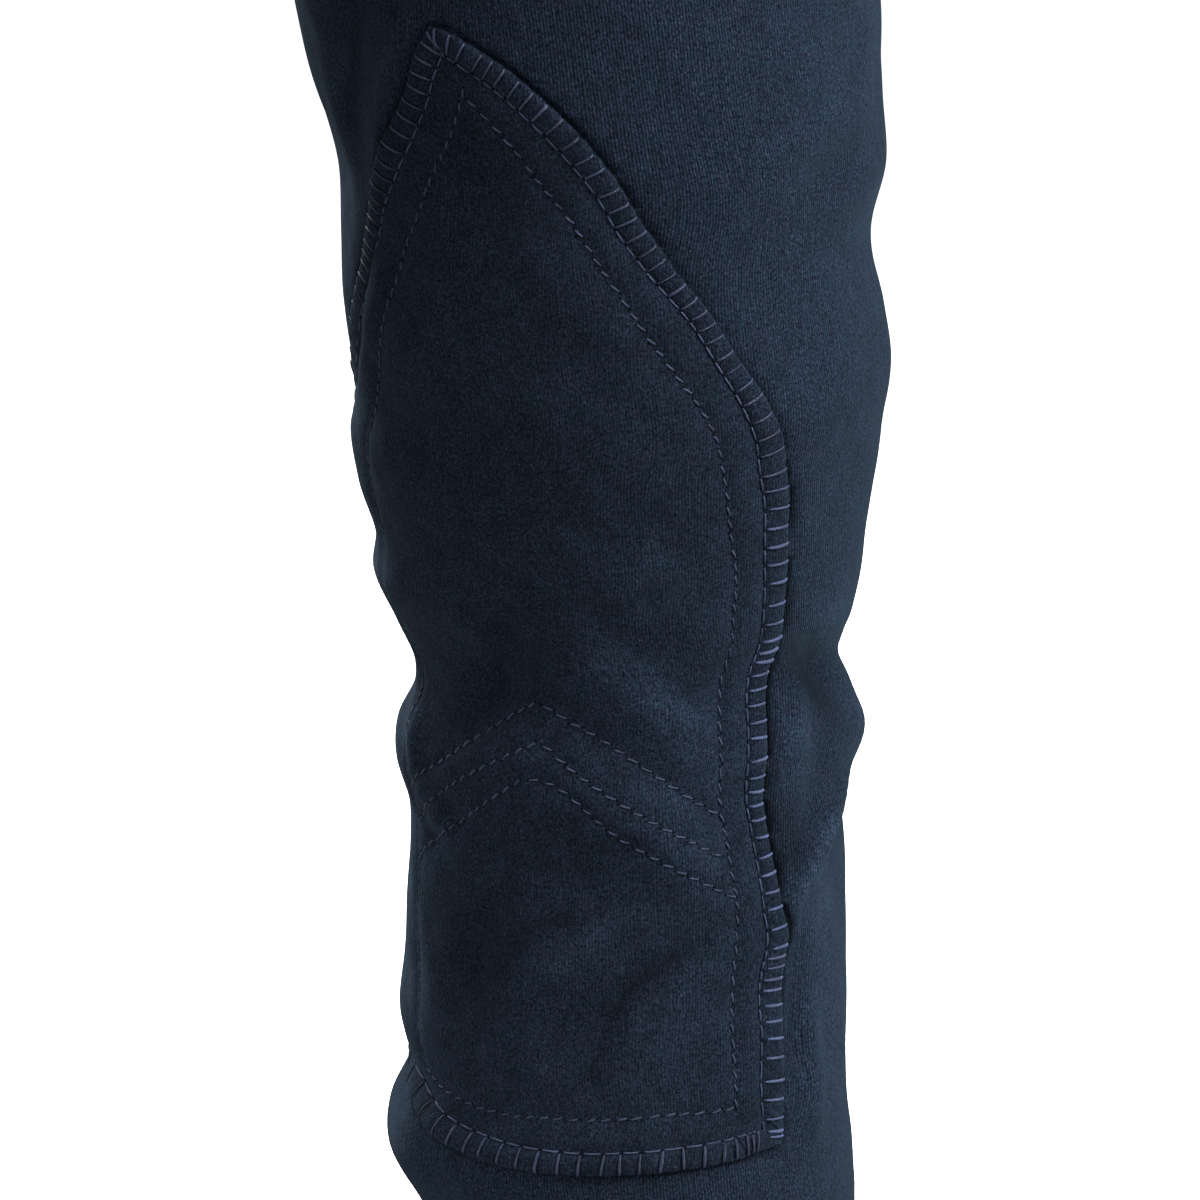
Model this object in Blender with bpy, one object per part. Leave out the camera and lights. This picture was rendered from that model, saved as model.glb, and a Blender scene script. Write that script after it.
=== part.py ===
"""Riding breeches with knee patches, as worn: a hollow cloth garment of cut pieces.

Metres, +Z up. The origin is the middle of the waistband's top edge. The garment faces -Y, and the
wearer's left is +X. Distances called drop are measured down from the waistband's top edge.
Bearings are degrees round a leg or the body: 0 is front, 90 the outer side, 180 back, -90 inside.
"""

import math

import bmesh
import bpy
import numpy as np
from mathutils import Matrix

MM = 0.001

# Driving sizes, in millimetres unless a name says otherwise.
CLOTH = 1.6
PATCH_CLOTH = 1.4
SEAM_GAP = 0.3
LAY_GAP = 0.4
BAND_HEIGHT = 40.0
CROTCH_DROP = 265.0
LEG_LINE_X = 105.0
LEG_LINE_Y = 12.0
SECTION_TURN = -22.0
OUTSEAM_BEARING = 95.0
INSEAM_TOP = -92.0
INSEAM_LOW = -122.0
INSEAM_TURN_FROM = 275.0
INSEAM_TURN_TO = 370.0
HIP_PIVOT_DROP = 170.0
CURVE_TOP = {"front": 185.0, "back": 150.0}
ARCH_LENGTH = 50.0
ARCH_SPREAD = 0.16
# Further out than the fork the cloth passes from body to leg over these drops, in full from
# this share of a panel's width on.
PASS_FROM = 130.0
PASS_TO = 310.0
PASS_SHARE = 0.45

# How each leg stands: spread outwards and back for each unit of drop, and the share of its
# height that is left of it.
STANCE = {
    "left": {"side": 1.0, "spread": 0.0, "back": 0.0, "reach": 1.0},
    "right": {"side": -1.0, "spread": 0.15, "back": 0.12, "reach": 0.98},
}

# Body sections: half width, and depths before and behind the middle.
BODY_COLUMNS = ("drop", "half", "fore", "aft")
BODY = (
    (0.0, 134.0, 98.0, 97.0),
    (40.0, 139.0, 104.0, 103.0),
    (80.0, 148.0, 109.0, 116.0),
    (120.0, 158.0, 112.0, 129.0),
    (160.0, 167.0, 113.0, 139.0),
    (200.0, 174.0, 112.0, 142.0),
    (240.0, 178.0, 110.0, 134.0),
    (300.0, 180.0, 104.0, 112.0),
)

# Leg sections, square to the leg's three-quarter view: how far the inner and outer outlines lie
# from the leg's upright line, half the depth, and how far the section is set back.
LEG_COLUMNS = ("drop", "inner", "outer", "depth", "back")
LEG = (
    (150.0, 96.0, 80.0, 96.0, 0.0),
    (265.0, 98.0, 80.0, 95.0, 2.0),
    (300.0, 95.0, 79.0, 92.0, 5.0),
    (335.0, 87.0, 73.6, 88.0, 10.0),
    (373.0, 78.6, 72.8, 84.0, 15.0),
    (394.0, 73.6, 74.0, 82.0, 18.0),
    (412.0, 69.0, 75.2, 80.0, 20.5),
    (432.0, 68.2, 71.6, 78.0, 23.0),
    (452.0, 68.0, 75.0, 77.0, 26.0),
    (466.0, 65.6, 76.8, 76.2, 27.8),
    (475.0, 64.0, 76.6, 75.2, 29.3),
    (484.0, 64.8, 75.2, 74.0, 30.5),
    (500.0, 62.6, 73.4, 71.0, 33.0),
    (514.0, 58.8, 71.6, 69.0, 35.0),
    (526.0, 59.4, 70.4, 67.0, 37.0),
    (538.0, 53.4, 68.2, 64.0, 38.5),
    (549.0, 48.6, 66.4, 62.0, 39.5),
    (558.0, 48.6, 66.6, 62.0, 40.0),
    (568.0, 52.4, 67.2, 63.0, 40.5),
    (578.0, 53.4, 67.0, 63.0, 41.0),
    (591.0, 50.6, 66.2, 62.0, 42.0),
    (605.0, 50.4, 66.4, 62.0, 43.0),
    (620.0, 50.7, 67.0, 63.0, 44.5),
    (636.0, 51.7, 67.6, 64.0, 46.0),
    (650.0, 53.2, 67.8, 65.0, 47.0),
    (664.0, 51.8, 68.2, 65.5, 48.0),
    (680.0, 58.2, 68.6, 65.5, 49.0),
    (692.0, 58.4, 69.8, 65.0, 50.0),
    (706.0, 50.2, 71.0, 64.0, 51.0),
    (730.0, 45.0, 69.0, 61.0, 53.0),
    (760.0, 42.0, 65.6, 57.0, 55.0),
    (790.0, 38.6, 61.4, 52.0, 57.0),
    (820.0, 34.6, 56.8, 47.0, 58.0),
    (850.0, 31.0, 52.4, 43.0, 58.0),
    (875.0, 28.6, 49.4, 41.0, 58.0),
    (900.0, 27.2, 47.4, 40.0, 58.0),
    (930.0, 27.6, 47.2, 40.0, 58.0),
)

# Folds, as they lie on a leg of FOLD_RADIUS, with none over the smooth waist: where the middle
# lies, how high the ridge stands (a trough is negative), how far it runs to each side of its
# middle, how wide it is to each side, and its slope, 0 round the leg and 90 down it, positive
# when it falls towards the outer side.
FOLD_RADIUS = 64.0
FOLDS_FROM = 60.0
FOLDS_FULL = 150.0
FOLD_COLUMNS = ("leg", "drop", "bearing", "height", "run", "spread", "slope")
FOLDS = (
    ("left", 547.0, 38.0, -3.4, 19.0, 6.5, 33.0),
    ("left", 570.0, 62.0, 4.4, 26.0, 10.0, 14.0),
    ("left", 549.0, 74.0, -2.6, 26.0, 5.5, 4.0),
    ("left", 592.0, 40.0, 1.6, 20.0, 5.5, -31.0),
    ("left", 657.0, 31.0, 1.3, 28.0, 7.0, 95.0),
    ("left", 544.0, -58.0, -2.2, 26.0, 9.0, -47.0),
    ("left", 550.0, -22.0, 2.0, 22.0, 10.0, 40.0),
    ("left", 588.0, -14.0, 2.2, 22.0, 10.0, 47.0),
    ("left", 603.0, -37.0, -2.2, 18.0, 7.0, 8.0),
    ("left", 621.0, -62.0, -2.2, 22.0, 8.0, -62.0),
    ("left", 625.0, -46.0, 1.8, 20.0, 8.0, -51.0),
    ("left", 629.0, -22.0, -1.8, 22.0, 7.0, -42.0),
    ("left", 393.0, -68.0, 2.2, 30.0, 5.5, 114.0),
    ("left", 385.0, -79.0, -2.4, 30.0, 6.0, 112.0),
    ("left", 389.0, 45.0, 1.3, 22.0, 6.0, 108.0),
    ("left", 409.0, 32.0, -1.8, 24.0, 7.0, -24.0),
    ("left", 543.0, 178.0, -5.0, 42.0, 8.0, 6.0),
    ("left", 566.0, 196.0, -3.8, 30.0, 7.0, -12.0),
    ("left", 524.0, 162.0, -3.2, 30.0, 8.0, 14.0),
    ("right", 557.0, 38.0, -3.6, 22.0, 8.0, 26.0),
    ("right", 573.0, 44.0, 2.4, 24.0, 9.0, 18.0),
    ("right", 541.0, -70.0, -3.0, 24.0, 8.0, -18.0),
    ("right", 604.0, 50.0, -2.0, 26.0, 6.0, -42.0),
    ("right", 562.0, -20.0, 2.2, 26.0, 14.0, 8.0),
    ("right", 638.0, -44.0, -2.2, 26.0, 11.0, -28.0),
    ("right", 418.0, -84.0, 2.4, 34.0, 8.0, 116.0),
    ("right", 540.0, 184.0, -5.2, 42.0, 8.0, -7.0),
    ("right", 565.0, 168.0, -3.6, 32.0, 7.0, 12.0),
    ("right", 519.0, 200.0, -3.0, 28.0, 8.0, -15.0),
    ("both", 296.0, 176.0, -5.0, 46.0, 11.0, 4.0),
    ("both", 322.0, 196.0, -3.0, 34.0, 9.0, -14.0),
    ("both", 284.0, -34.0, -3.4, 40.0, 8.0, -30.0),
    ("both", 312.0, -52.0, -3.0, 34.0, 8.0, -36.0),
    ("both", 342.0, -60.0, -2.2, 30.0, 9.0, -40.0),
    ("both", 256.0, 20.0, -2.4, 38.0, 10.0, -18.0),
    ("both", 742.0, 164.0, -2.0, 34.0, 8.0, 12.0),
    ("both", 842.0, 30.0, -1.7, 30.0, 7.0, 10.0),
    ("both", 866.0, -70.0, -1.9, 30.0, 7.0, -8.0),
    ("both", 890.0, 150.0, -1.8, 34.0, 7.0, 9.0),
    ("both", 908.0, 0.0, -1.4, 26.0, 6.0, -6.0),
)

# The knee patch's cut, clockwise from its peak, as bearings from the leg's three-quarter view.
OUTLINE_COLUMNS = ("view_bearing", "drop")
PATCH_OUTLINE = (
    (-30.0, 366.5),
    (-25.5, 368.0),
    (-15.5, 377.0),
    (-7.0, 388.0),
    (2.0, 404.0),
    (10.0, 421.0),
    (20.0, 442.0),
    (29.0, 461.5),
    (35.5, 478.0),
    (39.0, 494.0),
    (41.5, 520.0),
    (43.0, 600.0),
    (43.0, 677.0),
    (20.0, 679.5),
    (-8.0, 681.0),
    (-30.0, 681.0),
    (-52.5, 678.0),
    (-62.0, 674.0),
    (-76.0, 668.5),
    (-84.0, 665.0),
    (-87.5, 655.0),
    (-88.0, 560.0),
    (-88.0, 500.0),
    (-84.0, 482.0),
    (-67.0, 446.0),
    (-56.0, 422.5),
    (-43.0, 394.5),
    (-33.0, 371.5),
)
# Millimetres of cloth round the leg for each degree, where the outline is cut flat.
CUT_SCALE = 1.15

# Grid sizes of the cloth walls.
PANEL_COLUMNS = {"front": 16, "back": 11}
PANEL_WIDTH = 250.0
BAND_GRID = (56, 2)

# Waist closing.
BAND_UNDERLAP = -9.0
BAND_OVERLAP = 7.0
BAND_LIFT = 2.1
LAP_FROM = 338.0
LAP_FULL = 350.0
FLY_INNER = -3.0
FLY_OUTER = 12.0
FLY_TOP = BAND_HEIGHT + SEAM_GAP
FLY_LENGTH = 140.0
FLY_CURVE = 42.0
FLY_GRID = (7, 9)
BUTTON_RADIUS = 8.5
BUTTON_THICK = 2.8
BUTTON_EDGE = 0.7
RIM_WIDTH = 1.8
RIM_HEIGHT = 0.8
BUTTON_GAP = 0.6
BAND_LEAN = 6.0

NAVY = (0.016, 0.022, 0.034, 1.0)
PATCH_NAVY = (0.012, 0.016, 0.025, 1.0)
BUTTON_NAVY = (0.010, 0.013, 0.020, 1.0)


# ---------------------------------------------------------------- tables and curves


def column(rows, names, name):
    return np.array([row[names.index(name)] for row in rows], float)


def smooth_through(knots, values, at):
    """A smooth curve through the knots, with slopes taken from each knot's neighbours."""
    slopes = np.gradient(values, knots)
    at = np.clip(at, knots[0], knots[-1])
    low = np.clip(np.searchsorted(knots, at, side="right") - 1, 0, len(knots) - 2)
    step = knots[low + 1] - knots[low]
    t = (at - knots[low]) / step
    return (
        values[low] * (1 + 2 * t) * (1 - t) ** 2
        + slopes[low] * step * t * (1 - t) ** 2
        + values[low + 1] * t * t * (3 - 2 * t)
        + slopes[low + 1] * step * t * t * (t - 1)
    )


def from_table(rows, names, key, name, at):
    return smooth_through(column(rows, names, key), column(rows, names, name), at)


def ease(value, start, end):
    t = np.clip((value - start) / (end - start), 0.0, 1.0)
    return t * t * (3 - 2 * t)


# ---------------------------------------------------------------- the cloth's surface


def body_points(drop, bearing):
    """The hips and waist, as half ellipses before and behind the middle."""
    half = from_table(BODY, BODY_COLUMNS, "drop", "half", drop)
    fore = from_table(BODY, BODY_COLUMNS, "drop", "fore", drop)
    aft = from_table(BODY, BODY_COLUMNS, "drop", "aft", drop)
    angle = np.radians(bearing)
    depth = np.where(np.cos(angle) > 0, fore, aft)
    return half * np.sin(angle), -depth * np.cos(angle)


def leg_points(drop, bearing, stance):
    """The leg, as ellipses square to its three-quarter view, moved by how the leg stands."""
    inner = from_table(LEG, LEG_COLUMNS, "drop", "inner", drop)
    outer = from_table(LEG, LEG_COLUMNS, "drop", "outer", drop)
    depth = from_table(LEG, LEG_COLUMNS, "drop", "depth", drop)
    back = from_table(LEG, LEG_COLUMNS, "drop", "back", drop)
    angle = np.radians(bearing - SECTION_TURN)
    across = (outer - inner) / 2 + (outer + inner) / 2 * np.sin(angle)
    forward = -back + depth * np.cos(angle)
    turn = math.radians(SECTION_TURN)
    below_hip = np.maximum(drop - HIP_PIVOT_DROP, 0.0)
    x = LEG_LINE_X + across * math.cos(turn) + forward * math.sin(turn)
    y = LEG_LINE_Y + across * math.sin(turn) - forward * math.cos(turn)
    return x + stance["spread"] * below_hip, y + stance["back"] * below_hip


def fold_height(leg, drop, bearing):
    """How far the folds lift the cloth off the plain form, in millimetres."""
    height = np.zeros_like(drop)
    for row in FOLDS:
        fold = dict(zip(FOLD_COLUMNS, row, strict=True))
        if fold["leg"] not in (leg, "both"):
            continue
        turn = (bearing - fold["bearing"] + 180.0) % 360.0 - 180.0
        round_leg = FOLD_RADIUS * np.radians(turn)
        down = drop - fold["drop"]
        slope = math.radians(fold["slope"])
        along = round_leg * math.cos(slope) + down * math.sin(slope)
        across = down * math.cos(slope) - round_leg * math.sin(slope)
        lift = np.exp(-((along / fold["run"]) ** 2) - (across / fold["spread"]) ** 2)
        height = height + fold["height"] * lift
    return height


def seam_bearings(drop, part):
    """Leg bearings of a panel's two long edges, from the inseam or towards it."""
    inseam = INSEAM_TOP + (INSEAM_LOW - INSEAM_TOP) * ease(
        drop, INSEAM_TURN_FROM, INSEAM_TURN_TO
    )
    if part == "front":
        return inseam, np.full_like(drop, OUTSEAM_BEARING)
    return np.full_like(drop, OUTSEAM_BEARING), 360.0 + inseam


def plain_form(leg, part, drop, across):
    """Points and leg bearings of a panel before its folds; across runs 0 to 1 over its width."""
    stance = STANCE[leg]
    start, end = seam_bearings(drop, part)
    leg_bearing = start + (end - start) * across
    if part == "front":
        body_bearing = OUTSEAM_BEARING * across
        from_fork = across
    else:
        body_bearing = OUTSEAM_BEARING + (180.0 - OUTSEAM_BEARING) * across
        from_fork = 1.0 - across
    # Beside the centre seam the cloth turns under the body along a quarter ellipse, and further
    # out it passes slowly from body to leg.
    reach = np.clip((drop - CURVE_TOP[part]) / (CROTCH_DROP - CURVE_TOP[part]), 0.0, 1.0)
    under = 1.0 - np.sqrt(1.0 - reach**2)
    passing = ease(drop, PASS_FROM, PASS_TO)
    share = under + (passing - under) * ease(from_fork, 0.0, PASS_SHARE)
    body_x, body_y = body_points(drop, body_bearing)
    leg_x, leg_y = leg_points(drop, leg_bearing, stance)
    x = body_x + (leg_x - body_x) * share
    y = body_y + (leg_y - body_y) * share
    # At the fork the two legs' inner sides meet in an arch.
    fallen = np.maximum(drop - CROTCH_DROP, 0.0)
    pull = 1.0 - np.sqrt(1.0 - np.exp(-2.0 * fallen / ARCH_LENGTH))
    x = x * (1.0 - pull * np.exp(-((from_fork / ARCH_SPREAD) ** 2)))
    height = np.minimum(drop, CROTCH_DROP) + fallen * stance["reach"]
    bearing = body_bearing + (leg_bearing - body_bearing) * share
    return np.stack([x, y, -height], axis=-1), bearing


def normals_of(place, drop, across):
    """Outward normals of a surface, from its slopes along both of its directions."""
    step_down = 0.5
    step_across = 0.004
    down = place(drop + step_down, across) - place(drop - step_down, across)
    side = place(drop, across + step_across) - place(drop, across - step_across)
    normal = np.cross(down, side)
    return normal / np.linalg.norm(normal, axis=-1, keepdims=True)


def cloth(leg, part, drop, across):
    """Points of the cloth's outer face with its folds, on the wearer's left, in millimetres."""
    points, bearing = plain_form(leg, part, drop, across)
    outward = normals_of(lambda d, a: plain_form(leg, part, d, a)[0], drop, across)
    height = fold_height(leg, drop, bearing) * ease(drop, FOLDS_FROM, FOLDS_FULL)
    return points + outward * height[..., None]


# ---------------------------------------------------------------- meshes


def material(name, colour, roughness):
    made = bpy.data.materials.new(name)
    made.use_nodes = True
    shader = made.node_tree.nodes["Principled BSDF"]
    shader.inputs["Base Color"].default_value = colour
    shader.inputs["Roughness"].default_value = roughness
    shader.inputs["Metallic"].default_value = 0.0
    made.diffuse_color = colour
    return made


def add_object(name, mesh, finish):
    made = bpy.data.objects.new(name, mesh)
    made.data.materials.append(finish)
    made.data.shade_smooth()
    bpy.context.scene.collection.objects.link(made)
    return made


def flat_grid(columns, rows):
    """A flat unit of cloth, 0 to 1 across in x and 0 to 1 down in y, each of its squares cut
    from its top corner at the start to its foot at the end."""
    bm = bmesh.new()
    made = bmesh.ops.create_grid(bm, x_segments=columns, y_segments=rows, size=0.5)
    bmesh.ops.translate(bm, verts=made["verts"], vec=(0.5, 0.5, 0.0))
    bmesh.ops.triangulate(bm, faces=bm.faces, quad_method="FIXED")
    return bm


def cloth_wall(name, bm, place, finish, mirrored=False):
    """A closed wall of cloth: the flat piece is given thickness, then moved onto its surface.

    place takes how far across and down each vertex is, and which of them are on the inside."""
    outer = list(bm.verts)
    bmesh.ops.solidify(bm, geom=bm.verts[:] + bm.edges[:] + bm.faces[:], thickness=1.0)
    level = max(outer, key=lambda v: abs(v.co.z)).co.z
    verts = list(bm.verts)
    across = np.array([v.co.x for v in verts])
    down = np.array([v.co.y for v in verts])
    inside = np.array([abs(v.co.z - level) > 0.5 for v in verts])
    for vert, point in zip(verts, place(across, down, inside), strict=True):
        vert.co = point * MM
    if mirrored:
        bmesh.ops.transform(bm, matrix=Matrix.Scale(-1.0, 4, (1.0, 0.0, 0.0)), verts=verts)
    if bm.calc_volume(signed=True) < 0:
        bmesh.ops.reverse_faces(bm, faces=bm.faces)
    mesh = bpy.data.meshes.new(name)
    bm.to_mesh(mesh)
    bm.free()
    return add_object(name, mesh, finish)


def panel_drops():
    """The heights of a panel's rows: evenly down the hips, close together where the cloth turns
    under the body, and at each of the leg's sections from there on."""
    hips = np.linspace(BAND_HEIGHT + SEAM_GAP, CURVE_TOP["front"], 6)
    turn = CROTCH_DROP - CURVE_TOP["front"]
    under = CURVE_TOP["front"] + turn * np.sin(np.linspace(0, math.pi / 2, 9)[1:])
    legs = [d for d in column(LEG, LEG_COLUMNS, "drop") if d > CROTCH_DROP + 20.0]
    return np.concatenate([hips, under, [CROTCH_DROP + 4.0, CROTCH_DROP + 14.0], legs])


def panel_shares(part):
    """How far across the panel its columns lie, with half a seam's gap left at each edge."""
    margin = SEAM_GAP / 2 / PANEL_WIDTH
    return np.linspace(margin, 1.0 - margin, PANEL_COLUMNS[part] + 1)


def panel_points(leg, part):
    """The panel's points and normals, by row and column."""
    drop, share = np.meshgrid(panel_drops(), panel_shares(part), indexing="ij")
    points = cloth(leg, part, drop, share)
    return points, normals_of(lambda d, a: cloth(leg, part, d, a), drop, share)


def between(grid, row, col):
    """Values between a grid's points, on the flat triangles that join them."""
    low_row = np.clip(row.astype(int), 0, grid.shape[0] - 2)
    low_col = np.clip(col.astype(int), 0, grid.shape[1] - 2)
    down = (row - low_row)[:, None]
    side = (col - low_col)[:, None]
    corner = np.where(side > down, grid[low_row, low_col + 1], grid[low_row + 1, low_col])
    first = np.maximum(side, down)
    last = np.minimum(side, down)
    far = grid[low_row + 1, low_col + 1]
    return grid[low_row, low_col] * (1 - first) + corner * (first - last) + far * last


def make_panel(leg, part, finish):
    """One front or back of the breeches, from the waistband to the hem."""
    points, normals = panel_points(leg, part)
    rows, columns = points.shape[0] - 1, points.shape[1] - 1

    def place(across, down, inside):
        row, col = np.rint(down * rows).astype(int), np.rint(across * columns).astype(int)
        placed = points[row, col] - normals[row, col] * (CLOTH * inside)[:, None]
        placed[:, 0] = np.maximum(placed[:, 0], SEAM_GAP / 2)
        return placed

    mirrored = STANCE[leg]["side"] < 0
    cloth_wall(f"{part}_{leg}", flat_grid(columns, rows), place, finish, mirrored)


def cut_to_outline(bm):
    """Cuts a flat piece, in degrees and millimetres, along the knee patch's outline."""
    corners = [(b * CUT_SCALE, d) for b, d in PATCH_OUTLINE]
    for start, end in zip(corners, corners[1:] + corners[:1], strict=True):
        outward = (end[1] - start[1], start[0] - end[0], 0.0)
        bmesh.ops.bisect_plane(
            bm,
            geom=bm.verts[:] + bm.edges[:] + bm.faces[:],
            dist=0.6,
            plane_co=(start[0], start[1], 0.0),
            plane_no=outward,
            clear_outer=True,
        )


def make_patch(leg, finish):
    """The knee patch: a piece of the front's own grid, cut to its outline and moved out."""
    points, normals = panel_points(leg, "front")
    drops, shares = panel_drops(), panel_shares("front")
    rows, columns = points.shape[0] - 1, points.shape[1] - 1
    bm = flat_grid(columns, rows)
    for vert in bm.verts:
        drop = drops[round(vert.co.y * rows)]
        start, end = seam_bearings(np.array(drop), "front")
        bearing = start + (end - start) * shares[round(vert.co.x * columns)]
        vert.co = ((float(bearing) - SECTION_TURN) * CUT_SCALE, drop, 0.0)
    cut_to_outline(bm)

    def place(across, drop, inside):
        start, end = seam_bearings(drop, "front")
        share = (across / CUT_SCALE + SECTION_TURN - start) / (end - start)
        row = np.interp(drop, drops, np.arange(rows + 1))
        col = np.interp(share, shares, np.arange(columns + 1))
        lift = LAY_GAP + PATCH_CLOTH * ~inside
        return between(points, row, col) + between(normals, row, col) * lift[:, None]

    mirrored = STANCE[leg]["side"] < 0
    cloth_wall(f"knee_patch_{leg}", bm, place, finish, mirrored)


def waist_points(bearing, drop, lift):
    """Points round the waist, with the overlapping end of the band lifted over the other."""
    lap = BAND_LIFT * ease(bearing, LAP_FROM, LAP_FULL)
    x, y = body_points(drop, bearing)
    near_x, near_y = body_points(drop, bearing + 0.5)
    tangent = np.stack([near_x - x, near_y - y], axis=-1)
    tangent /= np.linalg.norm(tangent, axis=-1, keepdims=True)
    outward = np.stack([tangent[:, 1], -tangent[:, 0]], axis=-1)
    out = (lift + lap)[:, None] * outward
    return np.stack([x + out[:, 0], y + out[:, 1], -drop], axis=-1)


def make_waistband(finish):
    """One strip round the waist, whose end laps over its start at centre front."""

    def place(across, down, inside):
        bearing = BAND_UNDERLAP + (360.0 + BAND_OVERLAP - BAND_UNDERLAP) * across
        return waist_points(bearing, BAND_HEIGHT * down, -CLOTH * inside)

    cloth_wall("waistband", flat_grid(*BAND_GRID), place, finish)


def make_fly(finish):
    """The flap over the centre front closing, its foot curving back to the seam."""

    def place(across, down, inside):
        length = FLY_LENGTH - FLY_CURVE * (1.0 - np.sqrt(1.0 - across**2))
        bearing = FLY_INNER + (FLY_OUTER - FLY_INNER) * across
        lift = LAY_GAP + PATCH_CLOTH * ~inside
        return waist_points(bearing, FLY_TOP + length * down, lift)

    cloth_wall("fly_flap", flat_grid(*FLY_GRID), place, finish)


def make_button(finish):
    """A turned button with a raised rim, just clear of the waistband's outer end."""
    profile = (
        (0.0, 0.0),
        (BUTTON_RADIUS - BUTTON_EDGE, 0.0),
        (BUTTON_RADIUS, BUTTON_EDGE),
        (BUTTON_RADIUS, BUTTON_THICK - BUTTON_EDGE),
        (BUTTON_RADIUS - BUTTON_EDGE, BUTTON_THICK),
        (BUTTON_RADIUS - RIM_WIDTH, BUTTON_THICK),
        (BUTTON_RADIUS - RIM_WIDTH - RIM_HEIGHT, BUTTON_THICK - RIM_HEIGHT),
        (0.0, BUTTON_THICK - RIM_HEIGHT),
    )
    bm = bmesh.new()
    verts = [bm.verts.new((r * MM, 0.0, h * MM)) for r, h in profile]
    edges = [bm.edges.new(pair) for pair in zip(verts, verts[1:], strict=False)]
    bmesh.ops.spin(
        bm,
        geom=verts + edges,
        axis=(0.0, 0.0, 1.0),
        cent=(0.0, 0.0, 0.0),
        angle=math.tau,
        steps=20,
        use_merge=True,
    )
    bmesh.ops.remove_doubles(bm, verts=bm.verts, dist=1e-6)
    bmesh.ops.recalc_face_normals(bm, faces=bm.faces)
    band_face = waist_points(np.full(1, 360.0), np.full(1, BAND_HEIGHT / 2), np.zeros(1))[0]
    lean = math.atan2(BAND_LEAN, BAND_HEIGHT)
    place = Matrix.Translation((0.0, (band_face[1] - BUTTON_GAP) * MM, band_face[2] * MM))
    bmesh.ops.transform(
        bm, matrix=place @ Matrix.Rotation(math.pi / 2 - lean, 4, "X"), verts=bm.verts
    )
    mesh = bpy.data.meshes.new("button")
    bm.to_mesh(mesh)
    bm.free()
    add_object("button", mesh, finish)


def main():
    for old in list(bpy.data.objects):
        bpy.data.objects.remove(old, do_unlink=True)
    stretch_cloth = material("breeches_cloth", NAVY, 0.85)
    for leg in STANCE:
        for part in ("front", "back"):
            make_panel(leg, part, stretch_cloth)
        make_patch(leg, material(f"patch_cloth_{leg}", PATCH_NAVY, 0.9))
    make_waistband(material("waistband_cloth", NAVY, 0.85))
    make_fly(material("fly_cloth", NAVY, 0.85))
    make_button(material("button_plastic", BUTTON_NAVY, 0.35))


main()
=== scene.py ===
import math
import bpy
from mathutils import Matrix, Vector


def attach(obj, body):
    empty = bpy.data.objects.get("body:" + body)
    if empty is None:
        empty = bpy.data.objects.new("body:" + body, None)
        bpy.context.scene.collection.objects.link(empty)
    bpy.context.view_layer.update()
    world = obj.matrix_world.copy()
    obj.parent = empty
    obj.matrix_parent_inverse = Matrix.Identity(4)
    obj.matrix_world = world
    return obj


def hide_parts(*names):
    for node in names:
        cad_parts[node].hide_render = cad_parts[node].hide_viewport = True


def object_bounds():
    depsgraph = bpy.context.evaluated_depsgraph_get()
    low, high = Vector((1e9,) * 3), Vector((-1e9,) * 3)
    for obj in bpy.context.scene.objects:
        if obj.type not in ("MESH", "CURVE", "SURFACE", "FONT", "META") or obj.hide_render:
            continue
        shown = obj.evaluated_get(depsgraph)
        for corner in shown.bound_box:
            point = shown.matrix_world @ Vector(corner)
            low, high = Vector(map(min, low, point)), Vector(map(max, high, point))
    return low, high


bl_info = {
    "name": "Riding breeches",
    "version": (1, 0, 0),
    "blender": (4, 5, 0),
    "location": "View3D > Sidebar > Breeches",
    "description": "Riding breeches with sewn-on knee patches, as worn",
    "category": "Add Mesh",
}

import bmesh
import bpy
import numpy as np
from bpy.props import FloatProperty, FloatVectorProperty, IntProperty, PointerProperty
from bpy.types import Operator, Panel, PropertyGroup
from mathutils import Matrix, Vector
from mathutils.kdtree import KDTree

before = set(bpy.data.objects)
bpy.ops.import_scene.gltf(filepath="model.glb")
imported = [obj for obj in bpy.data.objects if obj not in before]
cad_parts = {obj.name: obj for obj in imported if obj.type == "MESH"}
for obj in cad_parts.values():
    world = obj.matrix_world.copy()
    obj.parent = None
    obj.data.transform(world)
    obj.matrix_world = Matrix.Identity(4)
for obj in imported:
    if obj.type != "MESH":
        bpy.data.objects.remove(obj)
CAD_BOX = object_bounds()
MM = 0.001

# ---------------------------------------------------------------- the garment's sizes
# Millimetres and degrees. Drop is measured down from the waistband's top edge. Bearings go round
# a leg or the body: 0 is front, 90 the outer side, 180 back, -90 inside.

BAND_HEIGHT = 40.0
SEAM_GAP = 0.3
CROTCH_DROP = 265.0
HEM_DROP = 930.0
LEG_LINE_X = 105.0
LEG_LINE_Y = 12.0
SECTION_TURN = -22.0
OUTSEAM_BEARING = 95.0
INSEAM_TOP = -92.0
INSEAM_LOW = -122.0
INSEAM_TURN_FROM = 275.0
INSEAM_TURN_TO = 370.0
HIP_PIVOT_DROP = 170.0
CURVE_TOP = {"front": 185.0, "back": 150.0}
ARCH_LENGTH = 50.0
ARCH_SPREAD = 0.16
PASS_FROM = 130.0
PASS_TO = 310.0
PASS_SHARE = 0.45
TURNED_IN = 2.6
STEADY_REACH = 4.0
# Where the rows of the fronts' meshes lie closer together, round the knee patch.
PATCH_DROPS = (362.0, 706.0)

STANCE = {
    "left": {"side": 1.0, "spread": 0.0, "back": 0.0, "reach": 1.0},
    "right": {"side": -1.0, "spread": 0.15, "back": 0.12, "reach": 0.98},
}

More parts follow.
